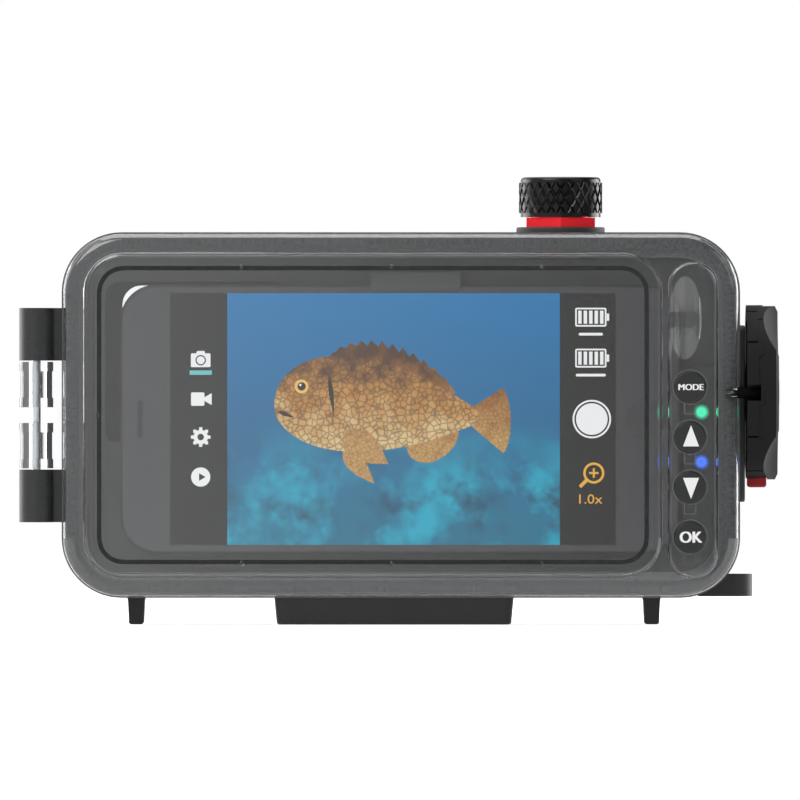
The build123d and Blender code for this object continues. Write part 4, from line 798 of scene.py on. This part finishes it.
@dataclass
class Studio:
    """Plain pale floor, soft light and the camera at the photo's angle.

    Attributes:
        eye_x: where the camera looks from, across.
        eye_z: height that the camera looks from.
        door_y: plane in which the photo's scale holds.
        sensor: width of the camera's sensor, in its own millimetres.
        aim: place that the lamps point at.
        floor: side of the floor.
        floor_lift: light that the floor adds where the camera sees it.
        plain: strength of the light from all round.
        fade: half width of the band of directions in which the reflected white falls off.
        glare: strength of the reflected white left and right of that band.
        shade_from: direction at which it starts to fall further to the right.
        shade_to: direction at which it has fallen.
        shade: share of it that is left there.
        lamps: the lamps.
    """

    eye_x: float = 1.65 * MM
    eye_z: float = 61.9 * MM
    door_y: float = -21.0 * MM
    sensor: float = 36.0
    aim: tuple[float, float, float] = (0.0, 0.0, 0.06)
    floor: float = 3.0
    floor_lift: float = 0.62
    plain: float = 0.55
    fade: float = 0.02
    glare: Point = (1.3, 0.58)
    shade_from: float = 0.1
    shade_to: float = 0.6
    shade: float = 0.3
    lamps: tuple[Lamp, ...] = (
        Lamp("key", (-0.55, -0.75, 0.85), 0.7, 9.0),
        Lamp("fill", (0.75, -0.6, 0.45), 0.6, 1.5),
        Lamp("top", (0.0, 0.15, 0.95), 0.8, 6.0),
        Lamp("rim_left", (-0.7, 0.42, 0.14), 0.6, 5.0),
        Lamp("rim_right", (0.7, 0.42, 0.14), 0.6, 7.0),
    )

    def build(self) -> None:
        """Makes the camera, floor, world and lamps."""
        self._camera()
        self._floor()
        self._world()
        for lamp in self.lamps:
            self._light(lamp)
        bpy.context.scene.view_settings.view_transform = "Standard"

    def _camera(self) -> None:
        """Adds the camera, level and straight on."""
        pick([])
        bpy.ops.object.camera_add(
            location=(self.eye_x, self.door_y - CAMERA_DISTANCE, self.eye_z), rotation=FACING
        )
        camera = bpy.context.object
        camera.name = "camera"
        camera.data.sensor_width = self.sensor
        camera.data.lens = self.sensor * CAMERA_DISTANCE / (PHOTO_SIDE * PHOTO_PIXEL)
        camera.data.clip_start = 0.01
        bpy.context.scene.camera = camera

    def _floor(self) -> None:
        """Adds the pale floor, which keeps the part's shadow."""
        pick([])
        bpy.ops.mesh.primitive_plane_add(size=self.floor, location=(0, 0, 0))
        floor = bpy.context.object
        floor.name = "floor"
        made = bpy.data.materials.new("floor_pale")
        made.use_nodes = True
        graph = Graph(made.node_tree)
        shader = graph.nodes["Principled BSDF"]
        graph.feed(shader, {"Base Color": (0.8, 0.8, 0.8, 1), "Roughness": 0.9, "Specular IOR Level": 0.0})
        seen = graph.seen(graph.add("LightPath", {}).outputs)
        lift = graph.add("Emission", {"Color": WHITE, "Strength": graph.math("MULTIPLY", seen, self.floor_lift)})
        both = graph.add("AddShader", {0: shader.outputs["BSDF"], 1: lift.outputs["Emission"]})
        graph.feed(graph.nodes["Material Output"], {"Surface": both.outputs["Shader"]})
        dress(floor, made)

    def _world(self) -> None:
        """White background, reflections that fade from left to right, and plain light."""
        world = bpy.data.worlds.new("studio")
        bpy.context.scene.world = world
        world.use_nodes = True
        graph = Graph(world.node_tree)
        graph.nodes.clear()
        path = graph.add("LightPath", {}).outputs
        plain = graph.add("Background", {"Color": WHITE, "Strength": self.plain}).outputs[0]
        white = graph.add("Background", {"Color": WHITE, "Strength": 1.0}).outputs[0]
        across = graph.split(graph.where("Generated"))["X"]
        glare = graph.fade(across, -self.fade, self.fade, self.glare, "SMOOTHSTEP")
        shade = graph.fade(across, self.shade_from, self.shade_to, (1.0, self.shade))
        soft = graph.add("Background", {"Strength": graph.math("MULTIPLY", glare, shade)}).outputs[0]
        reflected = graph.blend(path["Is Glossy Ray"], white, soft)
        graph.add("OutputWorld", {"Surface": graph.blend(graph.seen(path), plain, reflected)})

    def _light(self, lamp: Lamp) -> None:
        """Adds one lamp."""
        pick([])
        bpy.ops.object.light_add(type="AREA", location=lamp.place)
        light = bpy.context.object
        light.name = lamp.name
        light.data.size = lamp.size
        light.data.energy = lamp.power
        light.visible_camera = False
        light.rotation_mode = "QUATERNION"
        light.rotation_quaternion = (Vector(self.aim) - Vector(lamp.place)).to_track_quat("-Z", "Y")


# Push buttons


@dataclass
class ButtonMarks:
    """White printed marks on the four button caps, given a painted glow.

    Attributes:
        x: centre of the caps.
        rise: how far a mark stands out of its cap.
        bold: how far a word's two strikes lie to either side, as a share of its height.
        arrow_lift: how far an arrow's middle lies from its cap's, in the way that it points.
        mode_size: width and height of the word on the first cap.
        ok_size: width and height of the word on the last cap.
        arrow_size: width and height of the two arrows.
    """

    x: float = 81.65 * MM
    rise: float = 0.08 * MM
    bold: float = 0.06
    arrow_lift: float = 0.35 * MM
    mode_size: Point = (7.0 * MM, 1.7 * MM)
    ok_size: Point = (6.3 * MM, 3.1 * MM)
    arrow_size: Point = (4.4 * MM, 5.8 * MM)

    def build(self) -> None:
        """Adds the marks, each on its own button."""
        self._word("MODE", Body.MODE, self.mode_size)
        self._arrow(Body.UP, 1.0)
        self._arrow(Body.DOWN, -1.0)
        self._word("OK", Body.OK, self.ok_size)

    def _front(self, body: Body) -> tuple[float, float]:
        """Returns the cap's middle height, and the plane of its mark."""
        low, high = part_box(body.value)
        return (low.z + high.z) / 2, low.y - self.rise

    def _finish(self, piece: Piece, body: Body) -> None:
        """Thickens and names a mark, and puts it on its button."""
        thicken(piece, self.rise)
        # The marks are real print whose white is a painted glow.
        mount(piece, f"mark_{body.value}", GLOWING_INK_WHITE.material(), body)

    def _word(self, text: str, body: Body, size: Point) -> None:
        """Adds one word, struck twice to make it bold."""
        z, front = self._front(body)
        width, height = size
        bold = self.bold * height
        strokes = [
            lettering(text, self.x + side * bold, z, front, height, width - 2 * bold) for side in (-1, 1)
        ]
        self._finish(join(strokes), body)

    def _arrow(self, body: Body, way: float) -> None:
        """Adds one arrow, up for 1 and down for -1."""
        z, front = self._front(body)
        wide, tall = self.arrow_size
        low = z + way * (self.arrow_lift - tall / 2)
        corners = [(self.x - wide / 2, low), (self.x + wide / 2, low), (self.x, low + way * tall)]
        self._finish(shape(corners, front), body)


# Springs


@dataclass(frozen=True)
class CoilSpring:
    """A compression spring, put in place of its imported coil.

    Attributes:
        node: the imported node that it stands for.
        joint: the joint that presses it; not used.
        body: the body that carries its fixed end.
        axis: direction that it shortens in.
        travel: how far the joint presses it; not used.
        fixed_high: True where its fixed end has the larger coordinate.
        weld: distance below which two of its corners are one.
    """

    node: str
    joint: str
    body: Body
    axis: Axis
    travel: float
    fixed_high: bool = True
    weld: float = 0.001 * MM

    def build(self, frame: dict) -> None:
        """Puts a steel copy of the coil in the node's place and hides the node.
        """
        low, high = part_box(self.node)
        packed = frame["nodes"][self.node]
        mesh = packed.data.copy()
        mesh.transform(packed.matrix_world)
        coil = bpy.data.objects.new(f"coil_{self.node}", mesh)
        bpy.context.scene.collection.objects.link(coil)
        with editing(coil):
            bpy.ops.mesh.remove_doubles(threshold=self.weld)
        mount(coil, coil.name, STEEL.material(), self.body)
        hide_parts(self.node)
        along = self.axis.value
        anchor = (low + high) / 2
        anchor[along] = (high if self.fixed_high else low)[along]
        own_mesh(coil)


BUTTON_TRAVEL = 1.2 * MM
SPRINGS = (
    *(
        CoilSpring(f"spring_{key}", f"press_{key}", Body.DOOR, Axis.Y, BUTTON_TRAVEL)
        for key in ("mode", "up", "down", "ok")
    ),
    CoilSpring("lock_spring", "lock_slide", Body.DIAL, Axis.Z, 1.5 * MM),
    CoilSpring("plunger_spring", "plunger_slide", Body.HOUSING, Axis.Y, 1.9 * MM, fixed_high=False),
)


# Phone screen


class Sign(Enum):
    """Where the middle of each of the screen's signs lies in the photo, in pixels."""

    CAMERA = (200.5, 359)
    CAMERA_LINE = (200.5, 372.5)
    VIDEO = (197.5, 399)
    GEAR = (200.5, 437)
    PLAY = (200.5, 477)
    BATTERY = (591, 317)
    BATTERY_LINE = (591, 334)
    PHONE_BATTERY = (591, 358)
    PHONE_BATTERY_LINE = (591, 375)
    SHUTTER = (592, 419)
    ZOOM = (594, 473)
    ZOOM_TEXT = (591, 499)


@dataclass
class Screen:
    """The lit display: two dark bars with icons, and a reef picture between them.

    Attributes:
        left: X of its left side.
        right: X of its right side.
        bottom: Z of its lower side.
        top: Z of its upper side.
        picture_left: X of the picture's left side.
        picture_right: X of the picture's right side.
        lift: gap between the phone's glass and the lowest layer.
        layer: gap from one layer to the next.
        sand_from: height in the picture at which the sea bed is gone.
        sand_to: height below which it is full.
    """

    left: float = -61.6 * MM
    right: float = 61.05 * MM
    bottom: float = 22.0 * MM
    top: float = 91.3 * MM
    picture_left: float = -45.9 * MM
    picture_right: float = 45.65 * MM
    lift: float = 0.03 * MM
    layer: float = 0.02 * MM
    sand_from: float = 36 * MM
    sand_to: float = 14 * MM

    @staticmethod
    def at(sign: Sign) -> Point:
        """Turns a sign's place in the photo into X and Z."""
        x, y = sign.value
        return (x - PHOTO_ORIGIN[0]) * PHOTO_PIXEL, (PHOTO_ORIGIN[1] - y) * PHOTO_PIXEL

    def level(self, number: int) -> float:
        """Returns the Y of a layer, counted outwards from the glass."""
        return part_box("phone_glass")[0].y - self.lift - number * self.layer

    @staticmethod
    def show(name: str, pieces: list[Piece], material: Material) -> None:
        """Joins the pieces of one layer, gives them their colour and puts them on the phone."""
        mount(join(pieces), name, material, Body.HOUSING)

    def build(self) -> None:
        """Adds the display's layers."""
        self.show("screen_area", [self._field(self.left, self.right, 0)], SCREEN_DARK.material())
        self.show("picture_water", [self._field(self.picture_left, self.picture_right, 1)], self._water())
        self._left_icons()
        self._right_icons()

    def _field(self, left: float, right: float, layer: int) -> Piece:
        """Returns a plate as high as the display."""
        x, z = (left + right) / 2, (self.bottom + self.top) / 2
        return plate(x, z, self.level(layer), right - left, self.top - self.bottom)

    def _water(self) -> Material:
        """Blue water over a sea bed of pale teal sand and dark reef patches.

        Returns:
            The material.
        """
        made = bpy.data.materials.new("picture_water")
        made.use_nodes = True
        graph = Graph(made.node_tree)
        place = graph.where()
        z = graph.split(place)["Z"]
        water = graph.ramp(
            graph.fade(z, self.bottom, self.top), (0.0, srgb(2, 112, 142)), (0.25, srgb(2, 112, 150)),
            (0.5, srgb(2, 104, 152)), (0.8, srgb(4, 112, 168)), (1.0, srgb(4, 118, 176)),
        )
        low = graph.fade(z, self.bottom + self.sand_from, self.bottom + self.sand_to, kind="SMOOTHSTEP")
        sand = self._patches(graph, place, low, 48.0, (0.46, 0.6), 3.0)
        lit = graph.tint(sand, water, (*srgb(6, 168, 198), 1))
        reef = self._patches(graph, place, low, 70.0, (0.5, 0.66), 9.0)
        graph.feed(graph.nodes["Principled BSDF"], {
            "Base Color": (0.01, 0.01, 0.01, 1), "Specular IOR Level": 0.0, "Emission Strength": 0.95,
            "Emission Color": graph.tint(reef, lit, (*srgb(2, 78, 108), 1)),
        })
        return made

    @staticmethod
    def _patches(graph: Graph, place: Socket, low: Socket, scale: float, band: Point, shift: float) -> Socket:
        """Soft irregular patches that only lie low in the picture.

        Args:
            graph: the material's node tree.
            place: place on the piece.
            low: 1 low in the picture, 0 high in it.
            scale: how small the patches are.
            band: noise values at which a patch starts and is full.
            shift: moves the pattern, so that two layers differ.

        Returns:
            A socket with the mask.
        """
        moved = graph.add("Mapping", {"Vector": place, "Location": (shift, 0.0, shift)}).outputs[0]
        noise = graph.noise(moved, scale, 6.0, Roughness=0.6)
        return graph.math("MULTIPLY", graph.fade(noise, *band), low)

    def _left_icons(self) -> None:
        """Adds the camera, video, gear and play signs and the underline of the left bar."""
        y, above = self.level(2), self.level(3)
        x, z = self.at(Sign.CAMERA)
        white = [
            plate(x, z - 0.3 * MM, y, 5.4 * MM, 3.8 * MM, 0.3 * MM),
            plate(x, z + 1.7 * MM, y, 2.3 * MM, 1.1 * MM, 0.3 * MM),
        ]
        dark = [hollow(disc(x, z - 0.3 * MM, above, 1.45 * MM), 0.35 * MM)]
        x, z = self.at(Sign.VIDEO)
        white.append(plate(x, z, y, 3.7 * MM, 3.7 * MM, 0.4 * MM))
        white.append(disc(x + 2.9 * MM, z, y, 1.9 * MM, sides=3, turn=math.pi / 2))
        x, z = self.at(Sign.GEAR)
        white.append(hollow(disc(x, z, y, 2.0 * MM), 1.1 * MM))
        teeth, reach = 8, 2.25 * MM
        for n in range(teeth):
            angle = n * math.tau / teeth
            white.append(plate(x + reach * math.cos(angle), z + reach * math.sin(angle), y, 0.9 * MM, 0.9 * MM))
        x, z = self.at(Sign.PLAY)
        white.append(disc(x, z, y, 2.65 * MM))
        dark.append(disc(x + 0.15 * MM, z, above, 1.2 * MM, sides=3, turn=-math.pi / 2))
        self.show("icons_left", white, SCREEN_WHITE.material())
        self.show("icons_left_dark", dark, SCREEN_DARK.material())
        line = plate(*self.at(Sign.CAMERA_LINE), y, 6.1 * MM, 1.2 * MM)
        self.show("icon_underline", [line], SCREEN_TEAL.material())

    def _right_icons(self) -> None:
        """Adds the battery signs, shutter circle and zoom sign of the right bar."""
        y = self.level(2)
        white: list[Piece] = []
        for sign in (Sign.BATTERY, Sign.PHONE_BATTERY):
            x, z = self.at(sign)
            white.append(hollow(plate(x, z, y, 8.6 * MM, 5.2 * MM, 0.5 * MM), 0.45 * MM))
            white.append(plate(x + 4.7 * MM, z, y, 0.7 * MM, 2.0 * MM))
            white += [plate(x + n * 1.5 * MM, z, y, 0.95 * MM, 3.6 * MM) for n in range(-2, 3)]
        for sign, width in ((Sign.BATTERY_LINE, 6.6 * MM), (Sign.PHONE_BATTERY_LINE, 8.2 * MM)):
            white.append(plate(*self.at(sign), y, width, 0.75 * MM, 0.3 * MM))
        x, z = self.at(Sign.SHUTTER)
        white.append(disc(x, z, y, 4.35 * MM, sides=64))
        white.append(hollow(disc(x, z, y, 5.3 * MM, sides=64), 0.5 * MM))
        self.show("icons_right", white, SCREEN_WHITE.material())
        x, z = self.at(Sign.ZOOM)
        yellow = [
            hollow(disc(x, z, y, 2.9 * MM), 0.65 * MM),
            plate(x, z, y, 2.6 * MM, 0.55 * MM),
            plate(x, z, y, 0.55 * MM, 2.6 * MM),
            lettering("1.0x", *self.at(Sign.ZOOM_TEXT), y, 2.6 * MM, 6.4 * MM),
        ]
        x, z = x - 2.9 * MM, z - 2.9 * MM
        handle = plate(x, z, y, 2.6 * MM, 0.95 * MM)
        rotate(handle, math.pi / 4, x, y, z)
        yellow.append(handle)
        self.show("icons_zoom", yellow, SCREEN_YELLOW.material())


# Picture on the screen


@dataclass
class ReefFish:
    """A golden-brown fish, which swims to the left in the middle of the picture.

    Attributes:
        screen: the display that it is drawn on.
        nose: X and Z of the tip of its nose.
        length: from the nose to the root of the tail.
        back: height of the back over the middle line.
        belly: depth of the belly under it.
        tilt: how far the tail is lower than the nose, as a slope.
        blotch: how far the noise moves the skin's bands up and down.
    """

    screen: Screen
    nose: Point = (-33.0 * MM, 60.5 * MM)
    length: float = 56.0 * MM
    back: float = 14.0 * MM
    belly: float = 11.0 * MM
    tilt: float = -0.06
    blotch: float = 34.0 * MM

    def build(self) -> None:
        """Draws the fins, the body and the head's marks, back to front."""
        show, level = self.screen.show, self.screen.level
        skin = self._skin("fish_skin", (srgb(96, 58, 22), srgb(196, 138, 62), srgb(232, 200, 140)), 620.0, 0.6)
        fin = self._skin("fish_fin", (srgb(84, 50, 20), srgb(170, 112, 48), srgb(206, 160, 92)), 900.0, 0.4)
        dark = FISH_DARK.material()
        pelvic = self._leaf((0.34, -0.2), 0.22, 0.09, -0.8, 2)
        show("fish_fins", [self._tail(), self._dorsal(), self._anal(), pelvic], fin)
        show("fish_body", [shape(self._body(), level(3))], skin)
        show("fish_side_fin", [self._leaf((0.34, -0.12), 0.26, 0.16, -0.55, 4)], fin)
        mouth = self._leaf((0.02, -0.03), 0.085, 0.02, -0.3, 4)
        gill = self._leaf((0.27, 0.16), 0.2, 0.022, -1.45, 4)
        x, z = self.at(0.135, 0.1)
        show("fish_marks", [mouth, gill, disc(x, z, level(5), 1.15 * MM)], dark)
        show("fish_eye", [disc(x, z, level(4), 1.9 * MM)], FISH_GOLD.material())
        spark = disc(x - 0.35 * MM, z + 0.4 * MM, level(6), 0.32 * MM)
        show("fish_spark", [spark], SCREEN_WHITE.material())

    def at(self, along: float, up: float) -> Point:
        """Turns shares of the length, from the nose and up, into X and Z."""
        x, z = self.nose
        return x + along * self.length, z + (up + along * self.tilt) * self.length

    def _edge(self, along: float, depth: float, out: float = 0.0, on: float = 0.0) -> Point:
        """Place on the back or belly.

        Args:
            along: place along the body, as a share of the length.
            depth: greatest height of the back, or minus the depth of the belly.
            out: how far it lies past the edge, as a share of the length.
            on: how far it lies further back, as a share of the length.

        Returns:
            X and Z.
        """
        bulge = 2.6 * math.sqrt(along) * (1 - along) + 0.15 * along
        return self.at(along + on, bulge * depth / self.length + math.copysign(1.0, depth) * out)

    def _body(self) -> list[Point]:
        """Corners of the body, over the back and under the belly."""
        steps = [(n / 40) ** 1.5 for n in range(41)]
        over = [self._edge(t, self.back) for t in steps]
        under = [self._edge(t, -self.belly) for t in reversed(steps)]
        return over + under[:-1]

    def _tail(self) -> Piece:
        """Fan of the tail."""
        turns = [math.radians(58 - 4 * n) for n in range(30)]
        rim = [
            self.at(0.99 + 0.17 * math.cos(a) ** 0.4 + 0.006 * (n % 2), 0.19 * math.sin(a) - 0.01)
            for n, a in enumerate(turns)
        ]
        return shape([self.at(0.95, 0.03), *rim, self.at(0.95, -0.03)], self.screen.level(2))

    def _fin(self, steps: list[float], depth: float, heights: list[float]) -> Piece:
        """Fin along the back or belly.

        Args:
            steps: places along the body.
            depth: as in _edge.
            heights: how far it stands out at each place.

        Returns:
            The new piece.
        """
        rim = [self._edge(t, depth, out, 0.03) for t, out in zip(steps, heights)]
        root = [self._edge(t, depth, -0.03) for t in reversed(steps)]
        return shape(rim + root, self.screen.level(2))

    def _dorsal(self) -> Piece:
        """Spiny fin along the back."""
        steps = [0.24 + 0.62 * n / 36 for n in range(37)]
        heights = [
            0.1 * math.sin(math.pi * (t - 0.24) / 0.62) ** 0.6 * (1 - 0.16 * (n % 3)) for n, t in enumerate(steps)
        ]
        return self._fin(steps, self.back, heights)

    def _anal(self) -> Piece:
        """Fin under the tail's root."""
        steps = [0.62 + 0.26 * n / 16 for n in range(17)]
        return self._fin(steps, -self.belly, [0.1 * math.sin(math.pi * n / 16) ** 0.5 for n in range(17)])

    def _leaf(self, root: Point, long: float, wide: float, slope: float, layer: int) -> Piece:
        """Leaf-shaped fin or mark.

        Args:
            root: where it starts, in shares of the length.
            long: its length, as a share.
            wide: its greatest width, as a share.
            slope: angle that it points at, 0 for straight back.
            layer: the display layer that it lies in.

        Returns:
            The new piece.
        """
        steps = [n / 14 for n in range(15)]
        corners: list[Point] = []
        for side, order in ((1, steps), (-1, steps[-2:0:-1])):
            for t in order:
                across = side * wide / 2 * math.sin(math.pi * t ** 0.7)
                along = t * long
                corners.append(self.at(
                    root[0] + along * math.cos(slope) - across * math.sin(slope),
                    root[1] + along * math.sin(slope) + across * math.cos(slope),
                ))
        return shape(corners, self.screen.level(layer))

    def _skin(self, name: str, tones: tuple[Colour, Colour, Colour], scale: float, net: float) -> Material:
        """Scaly skin: dark on the back, golden on the side, pale on the belly, with a dark net over it.

        Args:
            name: the material's name.
            tones: colours of back, side and belly.
            scale: how small the scales are.
            net: how dark the net between the scales is.

        Returns:
            The material.
        """
        made = bpy.data.materials.new(name)
        made.use_nodes = True
        graph = Graph(made.node_tree)
        place = graph.where()
        wander = graph.math("MULTIPLY_ADD", graph.noise(place, 210.0, 5.0), self.blotch, graph.split(place)["Z"])
        middle = self.nose[1] + self.blotch / 2
        height = graph.fade(wander, middle - self.belly * 1.3, middle + self.back * 1.3)
        skin = graph.ramp(height, (0.1, tones[2]), (0.5, tones[1]), (0.9, tones[0]))
        cells = graph.add("TexVoronoi", {"Vector": place, "Scale": scale}, feature="DISTANCE_TO_EDGE")
        edge = graph.fade(cells.outputs["Distance"], 0.14, 0.02, (0.0, net))
        graph.feed(graph.nodes["Principled BSDF"], {
            "Base Color": (0.01, 0.01, 0.01, 1), "Specular IOR Level": 0.0, "Emission Strength": 0.9,
            "Emission Color": graph.tint(edge, skin, (*srgb(52, 34, 20), 1)),
        })
        return made


# Fine marks of the clear parts


@dataclass
class ClearDetails:
    """Painted shade line in the window's moat, fine pale lines of the bay with painted highlights round the
    buttons, border of the lens window, and light round the lamps.

    Attributes:
        window_x: centre of the door's window.
        window_z: centre of the door's window.
        window: width and height of the window's flat.
        corner: corner radius of the window's flat.
        moat_y: floor of the moat.
        line_inset: gap from the flat to the painted shade line.
        line_width: width of the painted shade line.
        film: thickness of a printed layer.
        cap_rise: how far the button caps stand out of the bay.
        boss_rise: how far the square marks' bosses stand out of the bay.
        ring_radius: outer radius of the painted highlight rings round the buttons.
        mark_size: width and height of the square marks.
        mark_corner: corner radius of the square marks.
        mark_drop: how far a square's middle lies under its button's.
        mark_line: width of the rings' and marks' lines.
        border_corner: corner radius of the lens window.
        view: left, right, bottom and top of the clear part of the lens window.
        view_corner: corner radius of that clear part.
        streak_depth: how far behind the moat's floor the lamps' reflections lie.
        spots: each lamp's own glow, and its reflections in the door's right and left edges.
    """

    window_x: float = -5.8 * MM
    window_z: float = 57.75 * MM
    window: Point = (148.5 * MM, 78.7 * MM)
    corner: float = 5.5 * MM
    moat_y: float = -18.1 * MM
    line_inset: float = 0.5 * MM
    line_width: float = 1.2 * MM
    film: float = 0.05 * MM
    cap_rise: float = 1.3 * MM
    boss_rise: float = 0.35 * MM
    ring_radius: float = 4.85 * MM
    mark_size: Point = (3.3 * MM, 2.9 * MM)
    mark_corner: float = 0.5 * MM
    mark_drop: float = 6.0 * MM
    mark_line: float = 0.16 * MM
    border_corner: float = 4.0 * MM
    view: tuple[float, float, float, float] = (-75.2 * MM, -36.0 * MM, 56.0 * MM, 93.6 * MM)
    view_corner: float = 5.2 * MM
    streak_depth: float = 3.0 * MM
    spots: tuple[Spot, ...] = (
        Spot(),
        Spot(9.4 * MM, 1.0 * MM, 0.7, 0.0, 2.4),
        Spot(-11.45 * MM, 1.0 * MM, 0.7, 0.0, 3.6),
    )

    def build(self) -> None:
        """Adds the lines, the border and the glow of both lamps."""
        self._moat_line()
        self._lens_border()
        self._bay_marks()
        self._lamp_glow("green", (0.07, 0.85, 0.48))
        self._lamp_glow("blue", (0.06, 0.19, 0.98))

    def _moat_line(self) -> None:
        """Adds a dark sheet along the floor of the moat, painted shade for the moat's groove."""
        grow = 2 * (self.line_inset + self.line_width)
        width, height = self.window
        y = self.moat_y - 2 * self.film
        # This dark line is painted shade along the moat's floor, not a separate part.
        edge = plate(self.window_x, self.window_z, y, width + grow, height + grow, self.corner + grow / 2)
        line = hollow(edge, self.line_width)
        thicken(line, self.film)
        mount(line, "moat_shade_line", MOAT_SHADE.material(), Body.DOOR)

    def _lens_border(self) -> None:
        """Adds the black border printed on the inner face of the lens window."""
        low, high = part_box("lens_window")
        left, right, bottom, top = self.view
        y = low.y - 2 * self.film
        x, z = (low.x + high.x) / 2, (low.z + high.z) / 2
        border = plate(x, z, y, high.x - low.x, high.z - low.z, self.border_corner)
        thicken(border, self.film)
        x, z = (left + right) / 2, (bottom + top) / 2
        clear = plate(x, z, y - self.film, right - left, top - bottom, self.view_corner)
        thicken(clear, 4 * self.film)
        cut(border, clear)
        mount(border, "lens_border", BORDER_INK.material(), Body.HOUSING)

    def _bay_marks(self) -> None:
        """Adds fine pale rings round the button holes, painted highlights on their edges, and a square mark under
        each in the same pale line.
        """
        places = [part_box(body.value) for body in (Body.MODE, Body.UP, Body.DOWN, Body.OK)]
        heights = [(low.z + high.z) / 2 for low, high in places]
        low, high = places[0]
        x = (low.x + high.x) / 2
        y = low.y + self.cap_rise - self.boss_rise - self.film
        # The rings are painted highlights on the edges of the button holes.
        rings = [disc(x, z, y, self.ring_radius, sides=64) for z in heights]
        squares = [plate(x, z - self.mark_drop, y, *self.mark_size, self.mark_corner) for z in heights]
        marks = join([hollow(piece, self.mark_line) for piece in rings + squares])
        mount(marks, "bay_ring_highlights_and_marks", BAY_HIGHLIGHT_AND_MARK_LINE.material(), Body.DOOR)

    def _lamp_glow(self, name: str, colour: Colour) -> None:
        """Adds the soft light round one lamp and its two fainter copies in the door's edges."""
        low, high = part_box(f"led_{name}")
        lamp_x, z = (low.x + high.x) / 2, (low.z + high.z) / 2
        for number, spot in enumerate(self.spots):
            x = lamp_x + spot.shift
            front = self.moat_y + self.streak_depth if number else low.y
            glow = disc(x, z, front - 4 * self.film, spot.radius)
            for vertex in glow.data.vertices:
                vertex.co.z = z + (vertex.co.z - z) * spot.tall
            label = f"glow_{name}_{number}"
            light = GlowFinish(label, colour, 1.0, 0.0, x, z, spot).material()
            mount(glow, label, light, Body.DOOR if number else Body.HOUSING)


def main() -> None:
    """Loads the frame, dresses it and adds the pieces."""
    logging.basicConfig(level=logging.INFO, format="%(name)s: %(message)s")
    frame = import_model()
    Studio().build()
    for name, node in frame["nodes"].items():
        dress(node, NODE_LOOKS[name].material())
    screen = Screen()
    screen.build()
    ReefFish(screen).build()
    ButtonMarks().build()
    ClearDetails().build()
    for spring in SPRINGS:
        spring.build(frame)


if __name__ == "__main__":
    main()
